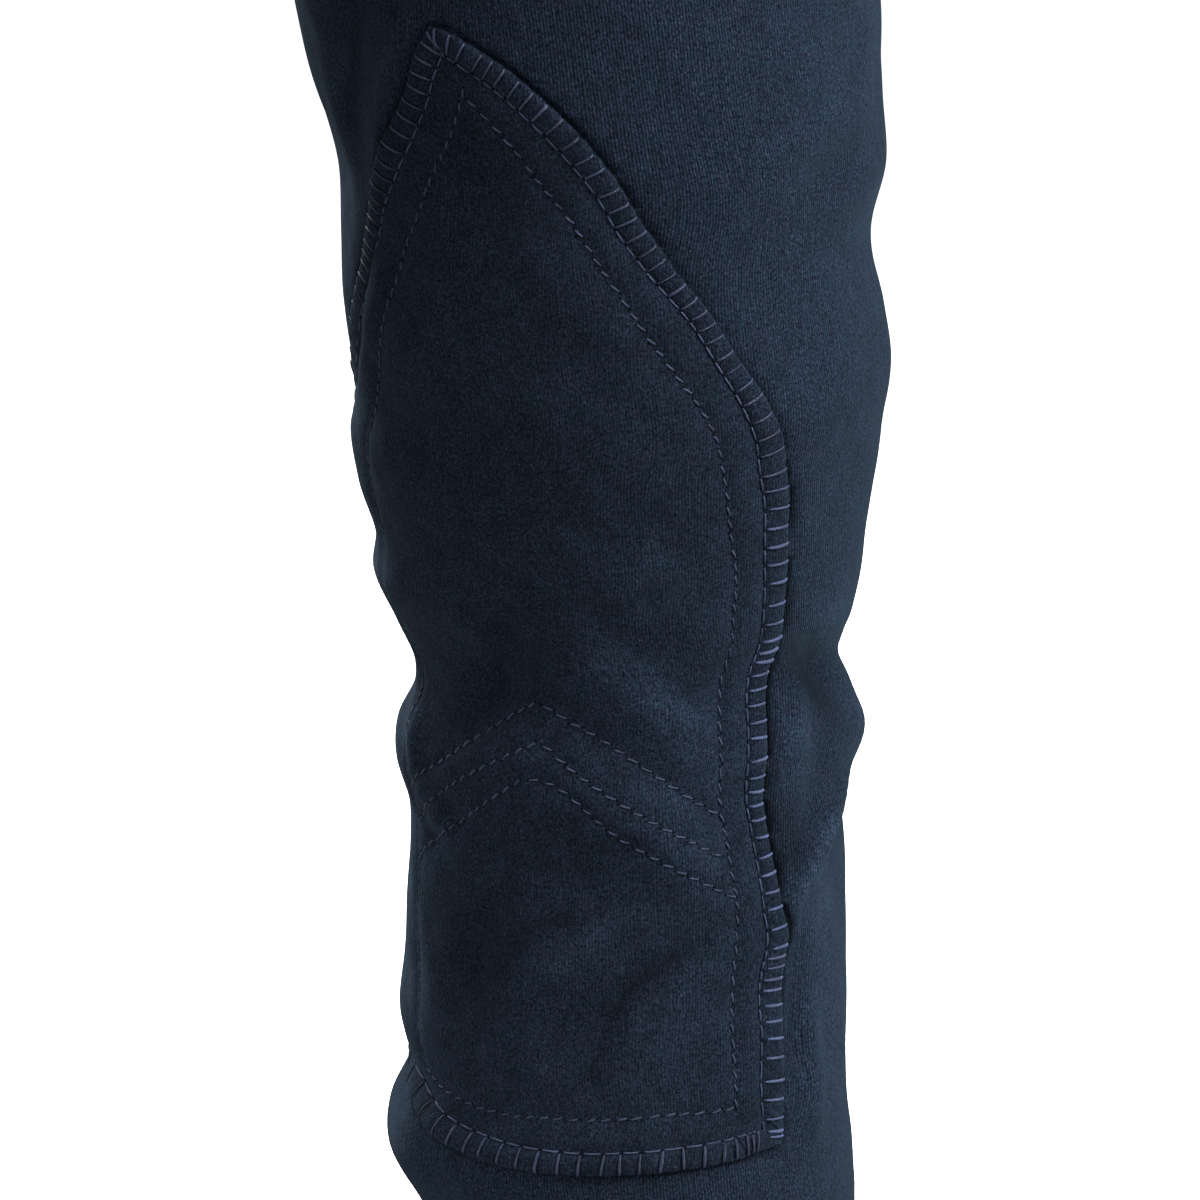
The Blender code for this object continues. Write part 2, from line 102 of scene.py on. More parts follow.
# Drop, half width, and depth to the front and to the back.
BODY = (
    (0, 134, 98, 97), (40, 139, 104, 103), (80, 148, 109, 116), (120, 158, 112, 129),
    (160, 167, 113, 139), (200, 174, 112, 142), (240, 178, 110, 134), (300, 180, 104, 112),
)

# Drop, half widths to the inner and the outer side, depth, and how far back the middle lies.
LEG = (
    (150, 96, 80, 96, 0), (265, 98, 80, 95, 2), (300, 95, 79, 92, 5), (335, 87, 73.6, 88, 10),
    (373, 78.6, 72.8, 84, 15), (394, 73.6, 74, 82, 18), (412, 69, 75.2, 80, 20.5),
    (432, 68.2, 71.6, 78, 23), (452, 68, 75, 77, 26), (466, 65.6, 76.8, 76.2, 27.8),
    (475, 64, 76.6, 75.2, 29.3), (484, 64.8, 75.2, 74, 30.5), (500, 62.6, 73.4, 71, 33),
    (514, 58.8, 71.6, 69, 35), (526, 59.4, 70.4, 67, 37), (538, 53.4, 68.2, 64, 38.5),
    (549, 48.6, 66.4, 62, 39.5), (558, 48.6, 66.6, 62, 40), (568, 52.4, 67.2, 63, 40.5),
    (578, 53.4, 67, 63, 41), (591, 50.6, 66.2, 62, 42), (605, 50.4, 66.4, 62, 43),
    (620, 50.7, 67, 63, 44.5), (636, 51.7, 67.6, 64, 46), (650, 53.2, 67.8, 65, 47),
    (664, 51.8, 68.2, 65.5, 48), (680, 58.2, 68.6, 65.5, 49), (692, 58.4, 69.8, 65, 50),
    (706, 50.2, 71, 64, 51), (730, 45, 69, 61, 53), (760, 42, 65.6, 57, 55),
    (790, 38.6, 61.4, 52, 57), (820, 34.6, 56.8, 47, 58), (850, 31, 52.4, 43, 58),
    (875, 28.6, 49.4, 41, 58), (900, 27.2, 47.4, 40, 58), (930, 27.6, 47.2, 40, 58),
)

# Folds of the left leg, the right leg and both: drop and bearing of the middle, how high the ridge
# stands (a trough is negative), how far it runs to each side of its middle, how wide it is to each
# side, and its slope, 0 round the leg and 90 down it, positive when it falls outwards.
FOLD_RADIUS = 64.0
FOLDS_FROM = 60.0
FOLDS_FULL = 150.0
FOLDS = {
    "left": (
        (547, 38, -3.4, 19, 6.5, 33), (570, 62, 4.4, 26, 10, 14), (549, 74, -2.6, 26, 5.5, 4),
        (592, 40, 1.6, 20, 5.5, -31), (657, 31, 1.3, 28, 7, 95), (544, -58, -2.2, 26, 9, -47),
        (550, -22, 2, 22, 10, 40), (588, -14, 2.2, 22, 10, 47), (603, -37, -2.2, 18, 7, 8),
        (621, -62, -2.2, 22, 8, -62), (625, -46, 1.8, 20, 8, -51), (629, -22, -1.8, 22, 7, -42),
        (393, -68, 2.2, 30, 5.5, 114), (385, -79, -2.4, 30, 6, 112), (389, 45, 1.3, 22, 6, 108),
        (409, 32, -1.8, 24, 7, -24), (543, 178, -5, 42, 8, 6), (566, 196, -3.8, 30, 7, -12),
        (524, 162, -3.2, 30, 8, 14),
    ),
    "right": (
        (557, 38, -3.6, 22, 8, 26), (573, 44, 2.4, 24, 9, 18), (541, -70, -3, 24, 8, -18),
        (604, 50, -2, 26, 6, -42), (562, -20, 2.2, 26, 14, 8), (638, -44, -2.2, 26, 11, -28),
        (418, -84, 2.4, 34, 8, 116), (540, 184, -5.2, 42, 8, -7), (565, 168, -3.6, 32, 7, 12),
        (519, 200, -3, 28, 8, -15),
    ),
    "both": (
        (296, 176, -5, 46, 11, 4), (322, 196, -3, 34, 9, -14), (284, -34, -3.4, 40, 8, -30),
        (312, -52, -3, 34, 8, -36), (342, -60, -2.2, 30, 9, -40), (256, 20, -2.4, 38, 10, -18),
        (742, 164, -2, 34, 8, 12), (842, 30, -1.7, 30, 7, 10), (866, -70, -1.9, 30, 7, -8),
        (890, 150, -1.8, 34, 7, 9), (908, 0, -1.4, 26, 6, -6),
    ),
}
# Finer creases, placed in the same way.
CREASES = {
    "left": (
        (564, 26.5, 1.8, 11, 4, 92), (583, 34.5, -1, 14, 5.5, 100), (549, 40, -2.3, 22, 6.5, 34),
        (597, 40, 2.3, 23, 4.2, -42), (561, 54, 1.1, 15, 5, 30), (617, 25, 1.2, 9, 3, -74),
        (644, 26.5, -2.3, 24, 4, 92), (666, 34, 1.6, 18, 4.5, 88), (548, -18, 1.5, 20, 7.5, 38),
        (567, -17, -0.5, 20, 6.5, 42), (587, -13, 1.4, 20, 7, 47), (545, -57, -1.9, 25, 7, -47),
        (604, -37, 1.4, 18, 5.5, 8), (621, -65, -1.3, 20, 6, -62), (627, -48, 1.3, 18, 5.5, -51),
        (632, -22, -1.4, 22, 5.5, -42), (566, -92, 2, 13, 5, 61), (582, -73, -1, 11, 3.5, 34),
        (597, -81, -1, 11, 3.5, 31), (590, -76, 1.2, 10, 3.5, 32), (402, -89, 1.2, 30, 5, 92),
        (398, 24, 1.4, 18, 6, -20), (534, 188, 1.6, 34, 4.5, 2), (553, 170, 1.8, 30, 4.5, 10),
        (578, 204, 1.2, 26, 4, -20), (556, 128, -1.6, 24, 4.5, 24), (540, 142, 1.2, 22, 4.5, 30),
        (612, 212, -1.2, 24, 6, -30),
    ),
    "right": (
        (566, 26, 1.2, 16, 4.5, 80), (584, 34, -1.4, 18, 4.5, 70), (551, 66, -1.8, 24, 4.5, 8),
        (586, -84, -1.2, 14, 4, 36), (618, -60, 1.2, 20, 6, -44), (530, 176, 1.6, 34, 4.5, -3),
        (552, 194, 1.7, 30, 4.5, -9), (576, 154, 1.2, 26, 4, 18), (404, 40, -1.2, 24, 6, -30),
    ),
    "both": (
        (306, 170, 1.6, 34, 5, -2), (334, 182, -1.4, 34, 5, 8), (298, -44, 1.4, 32, 5, -33),
        (328, -58, 1.2, 28, 5, -40), (272, -10, -1.6, 30, 5, -22), (286, 24, -1, 34, 5, -14),
        (232, 40, 1, 36, 7, -24), (756, 190, 1, 26, 5, -10), (780, 20, -0.8, 30, 6, 14),
        (856, 10, 0.9, 26, 4.5, 6), (878, -60, 0.9, 24, 4.5, -6), (872, 110, -1, 26, 5, 8),
        (900, 100, 0.8, 24, 4.5, -8),
    ),
}
# Painted shade and highlight: how much darker a fold's hollow is painted, and how much lighter
# its ridge, for each millimetre of the fold.
HOLLOW_SHADE = 0.055
RIDGE_SHADE = 0.045
DARKEST_SHADE = 0.85
# Painted shade, and painted highlight where the height is negative, laid on the cloth in the same
# columns, the height being the share of its darkness.
PAINTED_SHADES = {
    "left": (
        (572, 46, 0.18, 20, 30, 0), (400, -44, 0.18, 24, 14, 60), (372, -88, -0.24, 22, 18, -58),
        (642, 46, -0.2, 34, 14, 90), (552.5, 34, 0.6, 20, 6.5, 40), (539.7, 27, 0.3, 6.7, 2.4, 28),
        (562, 26.1, -0.28, 11.5, 6.5, 89), (592.8, 26.1, 0.38, 12.3, 6.3, 81),
        (574.8, 18.1, 0.26, 23.5, 1.9, 88), (593.7, 39.8, -0.9, 7, 1.8, -43),
        (605.7, 30.6, -0.9, 11, 1.9, -53), (592.3, 35.6, 0.22, 9.7, 1.8, -51),
        (615, 40.3, -0.4, 9.7, 6.6, -34), (533, 40.6, -0.5, 7, 8.5, 90),
        (610.1, -37.7, 0.38, 10.2, 4.1, -21), (629.7, -56.5, 0.4, 20.1, 8.9, -51),
        (617, -75.5, 0.2, 15.4, 8.1, -62), (618.4, -36.3, -0.28, 19.5, 3.3, -32),
        (637.5, -54.9, -0.2, 11, 3.8, -61), (621.7, -13.1, 0.28, 12.4, 3.2, -24),
        (638.6, -25.8, 0.32, 13.2, 3.8, -74), (638.6, -8.8, -0.14, 11.1, 5.4, -76),
        (584.3, -80.6, -0.35, 5.4, 4.5, 59), (593.5, -90.3, 0.4, 7.2, 1.2, 31),
        (589.8, -78.7, 0.4, 10.3, 1.2, -44), (592.2, -95.3, -0.9, 7.2, 1.4, 26),
        (589.3, -75.3, -0.5, 4.9, 0.9, -27), (602.3, -83.8, -0.55, 8.9, 2.2, -65),
        (590.6, -69.7, -0.3, 5.7, 2, -74), (542.3, -29.3, -0.24, 9.3, 7.4, 50),
        (550.9, -12.6, -0.2, 11.2, 5.5, 38), (551.9, -56.8, 0.16, 19, 6.9, -44),
        (545.3, -27.1, -0.14, 8, 6.1, 50), (560.9, -9.6, -0.2, 14.1, 6.2, 43),
        (574.4, -12.2, -0.26, 8.4, 2.8, 22), (539.9, -42.7, 0.2, 12.6, 4.6, -62),
        (384.8, -68.7, -0.7, 20.9, 1.6, -54), (384.3, -84.6, -0.8, 11.3, 1.8, -58),
        (374.8, -76.4, 0.3, 10.7, 3, -59), (417, -96.3, -0.8, 10.1, 2.7, -39),
        (383.9, -68, 0.2, 8.7, 2.3, -60),
    ),
    "right": (
        (552, 40, 0.42, 16, 5, 34), (563, 25, -0.24, 12, 6, 84), (598, 33, 0.26, 13, 5, -60),
        (606, 38, -0.45, 9, 1.8, -48), (545, -27, -0.22, 10, 7, 46), (632, -50, 0.32, 20, 8, -46),
        (620, -30, -0.2, 16, 4, -36),
    ),
    "both": (
        (300, -40, 0.18, 30, 6, -34),
    ),
}
# Slow unevenness of worn cloth: height, length of its waves round and down the leg, and phase.
SWELLS = ((0.30, 47, 83, 0.4), (0.22, -71, 38, 2.1), (0.14, 29, -52, 4.4), (0.08, -17, 23, 1.2))

# The knee patch's cut, clockwise from its peak, as (view bearing, drop) points: bearings from the
# leg's three-quarter view.
PATCH_OUTLINE = (
    (-30, 366.5), (-25.5, 368), (-15.5, 377), (-7, 388), (2, 404), (10, 421), (20, 442),
    (29, 461.5), (35.5, 478), (39, 494), (41.5, 520), (43, 600), (43, 677), (20, 679.5), (-8, 681),
    (-30, 681), (-52.5, 678), (-62, 674), (-76, 668.5), (-84, 665), (-87.5, 655), (-88, 560),
    (-88, 500), (-84, 482), (-67, 446), (-56, 422.5), (-43, 394.5), (-33, 371.5),
)
SHARP_CORNERS = (0, 1, 12, 19)
# The corners between which its outer side, its foot and its inner side run.
PATCH_SIDES = ((0, 12), (12, 19), (19, 28))
# About how many millimetres a degree of bearing is where the patch lies.
CUT_SCALE = 1.15
# How the folds draw its edge, as (drop, degrees added to its bearing).
OUTER_DRAWN = (
    (340, 0), (474, 0), (482, 0), (494, -0.3), (500, -0.9), (510, -1.2), (520, -1.2), (527, -1.1),
    (532, -1.1), (537, -2.4), (541, -4.2), (545, -5.2), (550, -5.9), (560, -6.2), (566, -6.1),
    (574, -6.8), (578, -6.7), (583, -5.7), (591, -4.2), (601, -2.2), (611, -0.7), (618, 0.6),
    (624, -0.5), (630, -1.5), (637, -1.6), (644, -0.8), (652, -0.5), (660, -1.1), (668, -0.7),
    (675, 0), (700, 0),
)
DIAGONAL_DRAWN = (
    (340, 0), (388, 0), (395, 0), (400, -0.6), (405, -1.1), (411, -1.9), (417, -2), (421, -1.3),
    (426, -0.4), (431, 0.3), (436, 1), (441, 1.2), (448, 0.6), (456, 0), (464, 0), (700, 0),
)
INNER_DRAWN = (
    (340, 0), (376, 0), (384, 0), (390, -1), (395, -1.8), (400, -3), (406, -4), (412, -4.6),
    (419, -4.2), (425, -3.2), (432, -2.5), (441, -1.6), (450, -0.8), (460, 0), (470, 0), (700, 0),
)
SIDE_DRAWN = ((340, -9.5), (700, -9.5))
# Each: 1 for the outer side and -1 for the inner, the bearings that way from which the edge is
# drawn and at which it is fully drawn, and by how much.
EDGE_DRAWS = (
    (1, 8, 34, OUTER_DRAWN), (1, -14, -4, DIAGONAL_DRAWN),
    (-1, 22, 36, INNER_DRAWN), (-1, 62, 86, SIDE_DRAWN),
)

# Hand-sewn bars of the blanket stitch: drops down the outer edge from the peak, bearings along
# the foot, and drops up the inner edge. Where no places are given they are evenly spaced.
OUTER_BARS = (
    366.9, 367.9, 370.1, 372.8, 374.5, 376.5, 379.4, 382.3, 385.4, 388.8, 393.4, 397.8, 401.4,
    406.7, 411, 414.8, 418.4, 422.1, 425.7, 429.4, 432.6, 436.5, 440.1, 443.5, 447.1, 451.3, 455.1,
    459.5, 463.5, 468.7, 473.7, 478.5, 484.8, 490.1, 495.7, 501.3, 506.4, 511.4, 517, 523.5, 529,
    533.8, 537, 540, 543.3, 547.6, 552.2, 556.9, 561.4, 566.7, 571.4, 575.4, 579.1, 583.7, 589.1,
    594.6, 599.8, 605, 609.6, 615.1, 620.3, 623.4, 626.1, 629.5, 632.7, 637.2, 641.8, 646.9, 652.2,
    658.7, 663.9, 669.4, 673.2, 674.6,
)
FOOT_BARS = (
    34.2, 32.9, 31.6, 28.4, 24.9, 20.1, 15, 9.6, 4.7, -0.1, -4.5, -9.9, -15, -20.1, -25.2, -30.5,
    -36, -40.6, -46.1, -51.9, -59.4, -65.6, -71.5, -77, -81.5,
)
INNER_BARS = (
    437.6, 434, 430.9, 427.6, 424, 420.2, 416.8, 413.3, 409.6, 405.4, 401.5, 397.1, 393.2, 389,
    385.3, 381.3, 377.5, 373.5, 370, 367.6,
)
INNER_BARS_FROM = 662.0
INNER_BARS_TO = 440.0
# How deep the blanket stitch is, as (drop, depth) down the outer edge. On the foot and the inner
# edge it is the last of these.
EDGE_DEPTH = (
    (360, 6.4), (395, 6.9), (440, 5.9), (455, 6.3), (468, 7), (482, 7.9), (500, 7.9), (512, 7.7),
    (524, 7.4), (538, 7.2), (549, 6.2), (566, 5.9), (578, 5.3), (584, 5.4), (600, 5.7), (618, 7),
    (645, 7.7), (668, 8.1), (679, 6.5),
)
# On the outer side the bars lie level instead of square to the edge, and fall a little inwards.
LEVEL_FROM = 484.0
LEVEL_FULL = 500.0
LEVEL_FALL = 0.10
LEVEL_FALL_FOOT = -0.12
# Spots along the patch's edge for each bar, and how far to each side its direction is measured.
EDGE_STEPS = 8
BAR_REACH = 2.2
# A bar of blanket stitch, from the cut edge in: share of the way in, lift, and its thickness.
BAR_SECTION = (
    (0.09, 0.40, 0.75), (0.045, 0.92, 0.92), (0.05, 1.52, 1.02), (0.115, 1.92, 1.06),
    (0.26, 2.16, 1.06), (0.46, 2.18, 1.04), (0.68, 2.02, 0.98), (0.86, 1.66, 0.82),
    (0.97, 0.80, 0.56),
)
THREAD_FLATTENED = 0.8
# How much darker the topstitches are painted than the same thread in the blanket stitch.
TOPSTITCH_DULL = 0.28

# Topstitched lines on the knee patch, as (view bearing, drop) points.
INNER_LINE = (
    (-25, 381.8), (-26.5, 386.2), (-30.5, 395.2), (-37.5, 406.5), (-44.5, 422.2), (-49.5, 436.5),
    (-57, 456), (-66, 478), (-71.5, 498), (-73, 520), (-72, 560), (-71, 600), (-70.5, 630),
    (-67.5, 643.5), (-67, 655), (-65.5, 662),
)
OUTER_LINE = (
    (-25, 384.6), (-21, 390.8), (-18, 396), (-13, 407.2), (-6, 420), (3, 436.5), (7.5, 447),
    (12, 457.5), (16, 466.5), (19.5, 476.2), (22.5, 488.2), (24, 501), (25.5, 513.8), (26, 524.2),
    (25.5, 534), (22.5, 545.2), (22, 558), (23, 564.8), (23.5, 576.8), (25, 588.8), (26, 598.5),
    (27.5, 604.5), (28, 616.5), (27, 626.2), (26.5, 637.5), (27, 652), (27, 664.5),
)
FOOT_LINE = (
    (27.5, 663.4), (21.5, 663.8), (10, 663.8), (-1.5, 664.5), (-11, 665.2), (-21, 665.6),
    (-31.5, 666.8), (-40.5, 666.8), (-49, 666), (-56, 665), (-65.5, 662),
)
# Each chevron's inner and outer half.
CHEVRONS = (
    ((-71.5, 584), (-65, 579), (-51, 570), (-42.5, 563.2), (-34.5, 556.5), (-25.5, 550.6)),
    ((-25, 550.8), (-17.5, 555), (-7, 560.2), (6, 568.5), (16, 576), (23.5, 581.2)),
    ((-71.5, 593.5), (-64.5, 588), (-44, 574), (-24.5, 561.6)),
    ((-23.5, 561.8), (0, 577), (23.5, 593.2)),
    ((-71.5, 604), (-67, 600), (-46, 586), (-26.5, 571.7)),
    ((-25.5, 571.5), (-20.5, 571.8), (0, 586.5), (21, 600.8), (27.5, 605)),
)

# Waist closing.
BAND_UNDERLAP = -9.0
BAND_OVERLAP = 7.0
BAND_ROWS = (4.0, 36.0)
HEM_ROWS = (HEM_DROP - 20.0, HEM_DROP - 16.5)
BAND_LIFT = 2.1
BAND_RADIUS = 130.0
LAP_FROM = 338.0
LAP_FULL = 350.0
FLY_INNER = -3.0
FLY_OUTER = 12.0
FLY_TOP = BAND_HEIGHT + SEAM_GAP
FLY_LENGTH = 140.0
FLY_CURVE = 42.0
FLY_WIDTH = 36.0
FLY_RADIUS = 140.0
FLY_TURN = 0.66
FLY_STITCH_ROWS = (0.62, 0.90)
BUTTON_RADIUS = 8.5
BUTTON_THICK = 2.8
BUTTON_GAP = 0.6
SHANK_RADIUS = 1.9
# The button's outline from its back's middle out, as (in from the rim, up from the back), and
# from its rim to the hollow of its face, as (in from the rim, down from the face).
BUTTON_BACK = ((1.2, 0.0), (0.35, 0.35), (0.0, 0.95))
BUTTON_FACE = (
    (0.0, 0.95), (0.25, 0.35), (0.8, 0.0), (1.5, 0.02), (2.1, 0.35), (2.8, 0.85), (3.6, 0.98),
)
BAND_LEAN = 6.0
LAY_GAP = 0.4

# How much redder, greener and bluer the dye gets where it is warmest.
WARMTH = (0.16, -0.03, 0.03)


class BreechesCloth(PropertyGroup):
    """Cloth, thread and button of the breeches"""

    cloth_colour: FloatVectorProperty(
        name="Cloth", description="Colour of the knitted stretch cloth", subtype="COLOR",
        size=4, min=0.0, max=1.0, default=(0.0138, 0.0216, 0.0368, 1.0))
    patch_colour: FloatVectorProperty(
        name="Patch", description="Colour of the brushed knee patches", subtype="COLOR",
        size=4, min=0.0, max=1.0, default=(0.0112, 0.0172, 0.0290, 1.0))
    thread_colour: FloatVectorProperty(
        name="Thread", description="Colour of the sewing thread", subtype="COLOR",
        size=4, min=0.0, max=1.0, default=(0.050, 0.068, 0.140, 1.0))
    button_colour: FloatVectorProperty(
        name="Button", description="Colour of the waistband's button", subtype="COLOR",
        size=4, min=0.0, max=1.0, default=(0.010, 0.013, 0.020, 1.0))
    wall: FloatProperty(
        name="Cloth thickness", description="Thickness of the stretch cloth",
        unit="LENGTH", min=0.0005, max=0.003, default=0.0016)
    patch_wall: FloatProperty(
        name="Patch thickness", description="Thickness of the patch and fly cloth",
        unit="LENGTH", min=0.0005, max=0.003, default=0.0013)
    rib_pitch: FloatProperty(
        name="Rib pitch", description="Distance between two ribs of the knit",
        unit="LENGTH", min=0.0003, max=0.004, default=0.00086)


class BreechesSewing(PropertyGroup):
    """Stitches of the breeches"""

    blanket_pitch: FloatProperty(
        name="Blanket stitch pitch",
        description="Distance between two bars of blanket stitch on the patches' inner edges",
        unit="LENGTH", min=0.003, max=0.01, default=0.0049)
    topstitch_pitch: FloatProperty(
        name="Topstitch pitch", description="Distance between two topstitches on the patches",
        unit="LENGTH", min=0.002, max=0.008, default=0.0043)
    hem_pitch: FloatProperty(
        name="Hem stitch pitch", description="Distance between two stitches of the other seams",
        unit="LENGTH", min=0.002, max=0.008, default=0.0034)
    thread_width: FloatProperty(
        name="Thread width", description="Width of the topstitching thread",
        unit="LENGTH", min=0.0002, max=0.0012, default=0.00058)
    blanket_width: FloatProperty(
        name="Blanket thread width", description="Width of a blanket stitch's bar",
        unit="LENGTH", min=0.0003, max=0.0015, default=0.00086)


class BreechesStage(PropertyGroup):
    """Camera and light"""

    azimuth: FloatProperty(
        name="Azimuth", description="Camera's bearing from the front", subtype="ANGLE",
        default=math.radians(-22.0))
    elevation: FloatProperty(
        name="Elevation", description="Camera's height above the horizon", subtype="ANGLE",
        default=math.radians(13.0))
    distance: FloatProperty(
        name="Distance", description="Camera's distance from the knee", unit="LENGTH",
        min=0.5, max=10.0, default=1.7)
    view_width: FloatProperty(
        name="View width", description="Width of the view at the knee", unit="LENGTH",
        min=0.1, max=3.0, default=0.324)
    key_power: FloatProperty(
        name="Main light", description="Power of the main light", unit="POWER",
        min=0.0, max=1000.0, default=49.0)
    sky: FloatProperty(
        name="Sky", description="Brightness of the light from all round", min=0.0, max=2.0,
        default=0.34)
    panel_columns: IntProperty(
        name="Panel columns", description="Mesh columns across the nearer front panel",
        min=20, max=150, default=118)


# ---------------------------------------------------------------- tables and curves


def smooth_through(knots, values, at):
    """A smooth curve through the knots, with slopes taken from each knot's neighbours."""
    slopes = np.gradient(values, knots)
    at = np.clip(at, knots[0], knots[-1])
    low = np.clip(np.searchsorted(knots, at, side="right") - 1, 0, len(knots) - 2)
    step = knots[low + 1] - knots[low]
    t = (at - knots[low]) / step
    return (
        values[low] * (1 + 2 * t) * (1 - t) ** 2
        + slopes[low] * step * t * (1 - t) ** 2
        + values[low + 1] * t * t * (3 - 2 * t)
        + slopes[low + 1] * step * t * t * (t - 1)
    )


def from_table(rows, at):
    """A table's other columns at values of its first, along smooth curves through its rows."""
    knots, *columns = np.array(rows, float).T
    return [smooth_through(knots, values, at) for values in columns]


def ease(value, start, end):
    t = np.clip((value - start) / (end - start), 0.0, 1.0)
    return t * t * (3 - 2 * t)


def bell(value, width):
    return np.exp(-((value / width) ** 2))


def unit(vectors):
    return vectors / np.maximum(np.linalg.norm(vectors, axis=-1, keepdims=True), 1e-12)


def run_lengths(lines):
    """How far along its own line each point lies, for an array of (line, point, 3)."""
    steps = np.linalg.norm(np.diff(lines, axis=1), axis=2)
    return np.cumsum(np.pad(steps, ((0, 0), (1, 0))), axis=1)


# ---------------------------------------------------------------- the cloth's surface


def body_points(drop, bearing):
    """The hips and waist, as half ellipses before and behind the middle."""
    half, fore, aft = from_table(BODY, drop)
    angle = np.radians(bearing)
    depth = np.where(np.cos(angle) > 0, fore, aft)
    return half * np.sin(angle), -depth * np.cos(angle)


def leg_points(drop, bearing, stance):
    """The leg, as ellipses square to its three-quarter view, moved by how the leg stands."""
    inner, outer, depth, back = from_table(LEG, drop)
    angle = np.radians(bearing - SECTION_TURN)
    across = (outer - inner) / 2 + (outer + inner) / 2 * np.sin(angle)
    forward = -back + depth * np.cos(angle)
    turn = math.radians(SECTION_TURN)
    below_hip = np.maximum(drop - HIP_PIVOT_DROP, 0.0)
    x = LEG_LINE_X + across * math.cos(turn) + forward * math.sin(turn)
    y = LEG_LINE_Y + across * math.sin(turn) - forward * math.cos(turn)
    return x + stance["spread"] * below_hip, y + stance["back"] * below_hip


def crease_height(leg, drop, bearing, *tables):
    """How far the folds of some tables lift the cloth off its plain form."""
    total = np.zeros_like(drop)
    rows = [row for table in tables for key in (leg, "both") for row in table[key]]
    for middle, at, height, run, spread, slope in rows:
        turn = (bearing - at + 180.0) % 360.0 - 180.0
        round_leg = FOLD_RADIUS * np.radians(turn)
        down = drop - middle
        slope = math.radians(slope)
        along = round_leg * math.cos(slope) + down * math.sin(slope)
        across = down * math.cos(slope) - round_leg * math.sin(slope)
        total = total + height * bell(along, run) * bell(across, spread)
    return total


def fold_height(leg, drop, bearing):
    """Folds and creases with the slow unevenness of worn cloth."""
    height = crease_height(leg, drop, bearing, FOLDS, CREASES)
    round_leg = FOLD_RADIUS * np.radians(bearing)
    for swell, wide, long, phase in SWELLS:
        wave = round_leg / wide + drop / long
        height = height + swell * np.sin(math.tau * wave + phase + np.sin(drop / 31.0 + phase))
    return height


def fold_shade(leg, drop, bearing):
    """How much darker the cloth is painted in the hollow of a fold, as painted shade, and how much
    lighter on a ridge, as painted highlight, with the table of painted shades added."""
    height = crease_height(leg, drop, bearing, FOLDS, CREASES)
    shade = np.where(height < 0, -HOLLOW_SHADE * height, -RIDGE_SHADE * height)
    return np.minimum(shade + crease_height(leg, drop, bearing, PAINTED_SHADES), DARKEST_SHADE)


def seam_bearings(drop, part):
    """Leg bearings of a panel's two long edges."""
    inseam = INSEAM_TOP + (INSEAM_LOW - INSEAM_TOP) * ease(
        drop, INSEAM_TURN_FROM, INSEAM_TURN_TO
    )
    if part == "front":
        return inseam, np.full_like(drop, OUTSEAM_BEARING)
    return np.full_like(drop, OUTSEAM_BEARING), 360.0 + inseam


def plain_form(leg, part, drop, across):
    """Points and leg bearings of a panel before its folds; across runs 0 to 1 over its width."""
    stance = STANCE[leg]
    start, end = seam_bearings(drop, part)
    leg_bearing = start + (end - start) * across
    if part == "front":
        body_bearing = OUTSEAM_BEARING * across
        from_fork = across
    else:
        body_bearing = OUTSEAM_BEARING + (180.0 - OUTSEAM_BEARING) * across
        from_fork = 1.0 - across
    # Beside the centre seam the cloth turns under the body along a quarter ellipse, and further
    # out it passes slowly from body to leg.
    reach = np.clip((drop - CURVE_TOP[part]) / (CROTCH_DROP - CURVE_TOP[part]), 0.0, 1.0)
    under = 1.0 - np.sqrt(1.0 - reach**2)
    passing = ease(drop, PASS_FROM, PASS_TO)
    share = under + (passing - under) * ease(from_fork, 0.0, PASS_SHARE)
    body_x, body_y = body_points(drop, body_bearing)
    leg_x, leg_y = leg_points(drop, leg_bearing, stance)
    x = body_x + (leg_x - body_x) * share
    y = body_y + (leg_y - body_y) * share
    # At the fork the two legs' inner sides meet in an arch.
    fallen = np.maximum(drop - CROTCH_DROP, 0.0)
    pull = 1.0 - np.sqrt(1.0 - np.exp(-2.0 * fallen / ARCH_LENGTH))
    x = x * (1.0 - pull * np.exp(-((from_fork / ARCH_SPREAD) ** 2)))
    height = np.minimum(drop, CROTCH_DROP) + fallen * stance["reach"]
    bearing = body_bearing + (leg_bearing - body_bearing) * share
    return np.stack([x, y, -height], axis=-1), bearing


def normals_of(place, drop, across):
    """Outward normals of a surface, from its slopes along both of its directions."""
    step_down = 0.5
    step_across = 0.004
    down = place(drop + step_down, across) - place(drop - step_down, across)
    side = place(drop, across + step_across) - place(drop, across - step_across)
    return unit(np.cross(down, side))


def cloth(leg, part, drop, across):
    """Points of the cloth's outer face with its folds, on the wearer's left, in millimetres."""
    points, bearing = plain_form(leg, part, drop, across)
    outward = normals_of(lambda d, a: plain_form(leg, part, d, a)[0], drop, across)
    height = fold_height(leg, drop, bearing) * ease(drop, FOLDS_FROM, FOLDS_FULL)
    return points + outward * height[..., None]


def leg_share(drop, view_bearing):
    """How far across the front panel a bearing from the three-quarter view lies."""
    start, end = seam_bearings(drop, "front")
    return (view_bearing + SECTION_TURN - start) / (end - start)


def on_leg(leg, spots):
    """Points and normals of a leg's front at (view bearing, drop) spots."""
    spots = np.asarray(spots, float)
    flat = spots.reshape(-1, 2)
    drop = flat[:, 1]
    share = leg_share(drop, flat[:, 0])
    points = cloth(leg, "front", drop, share)
    normals = normals_of(lambda d, a: cloth(leg, "front", d, a), drop, share)
    return points.reshape(*spots.shape[:-1], 3), normals.reshape(*spots.shape[:-1], 3)


def edge_drawn(spots):
    """Moves (view bearing, drop) spots near the patch's edge as the folds draw it."""
    moved = np.array(spots, float)
    for side, start, full, table in EDGE_DRAWS:
        shift = from_table(table, spots[..., 1])[0]
        moved[..., 0] += shift * ease(side * spots[..., 0], start, full)
    return moved


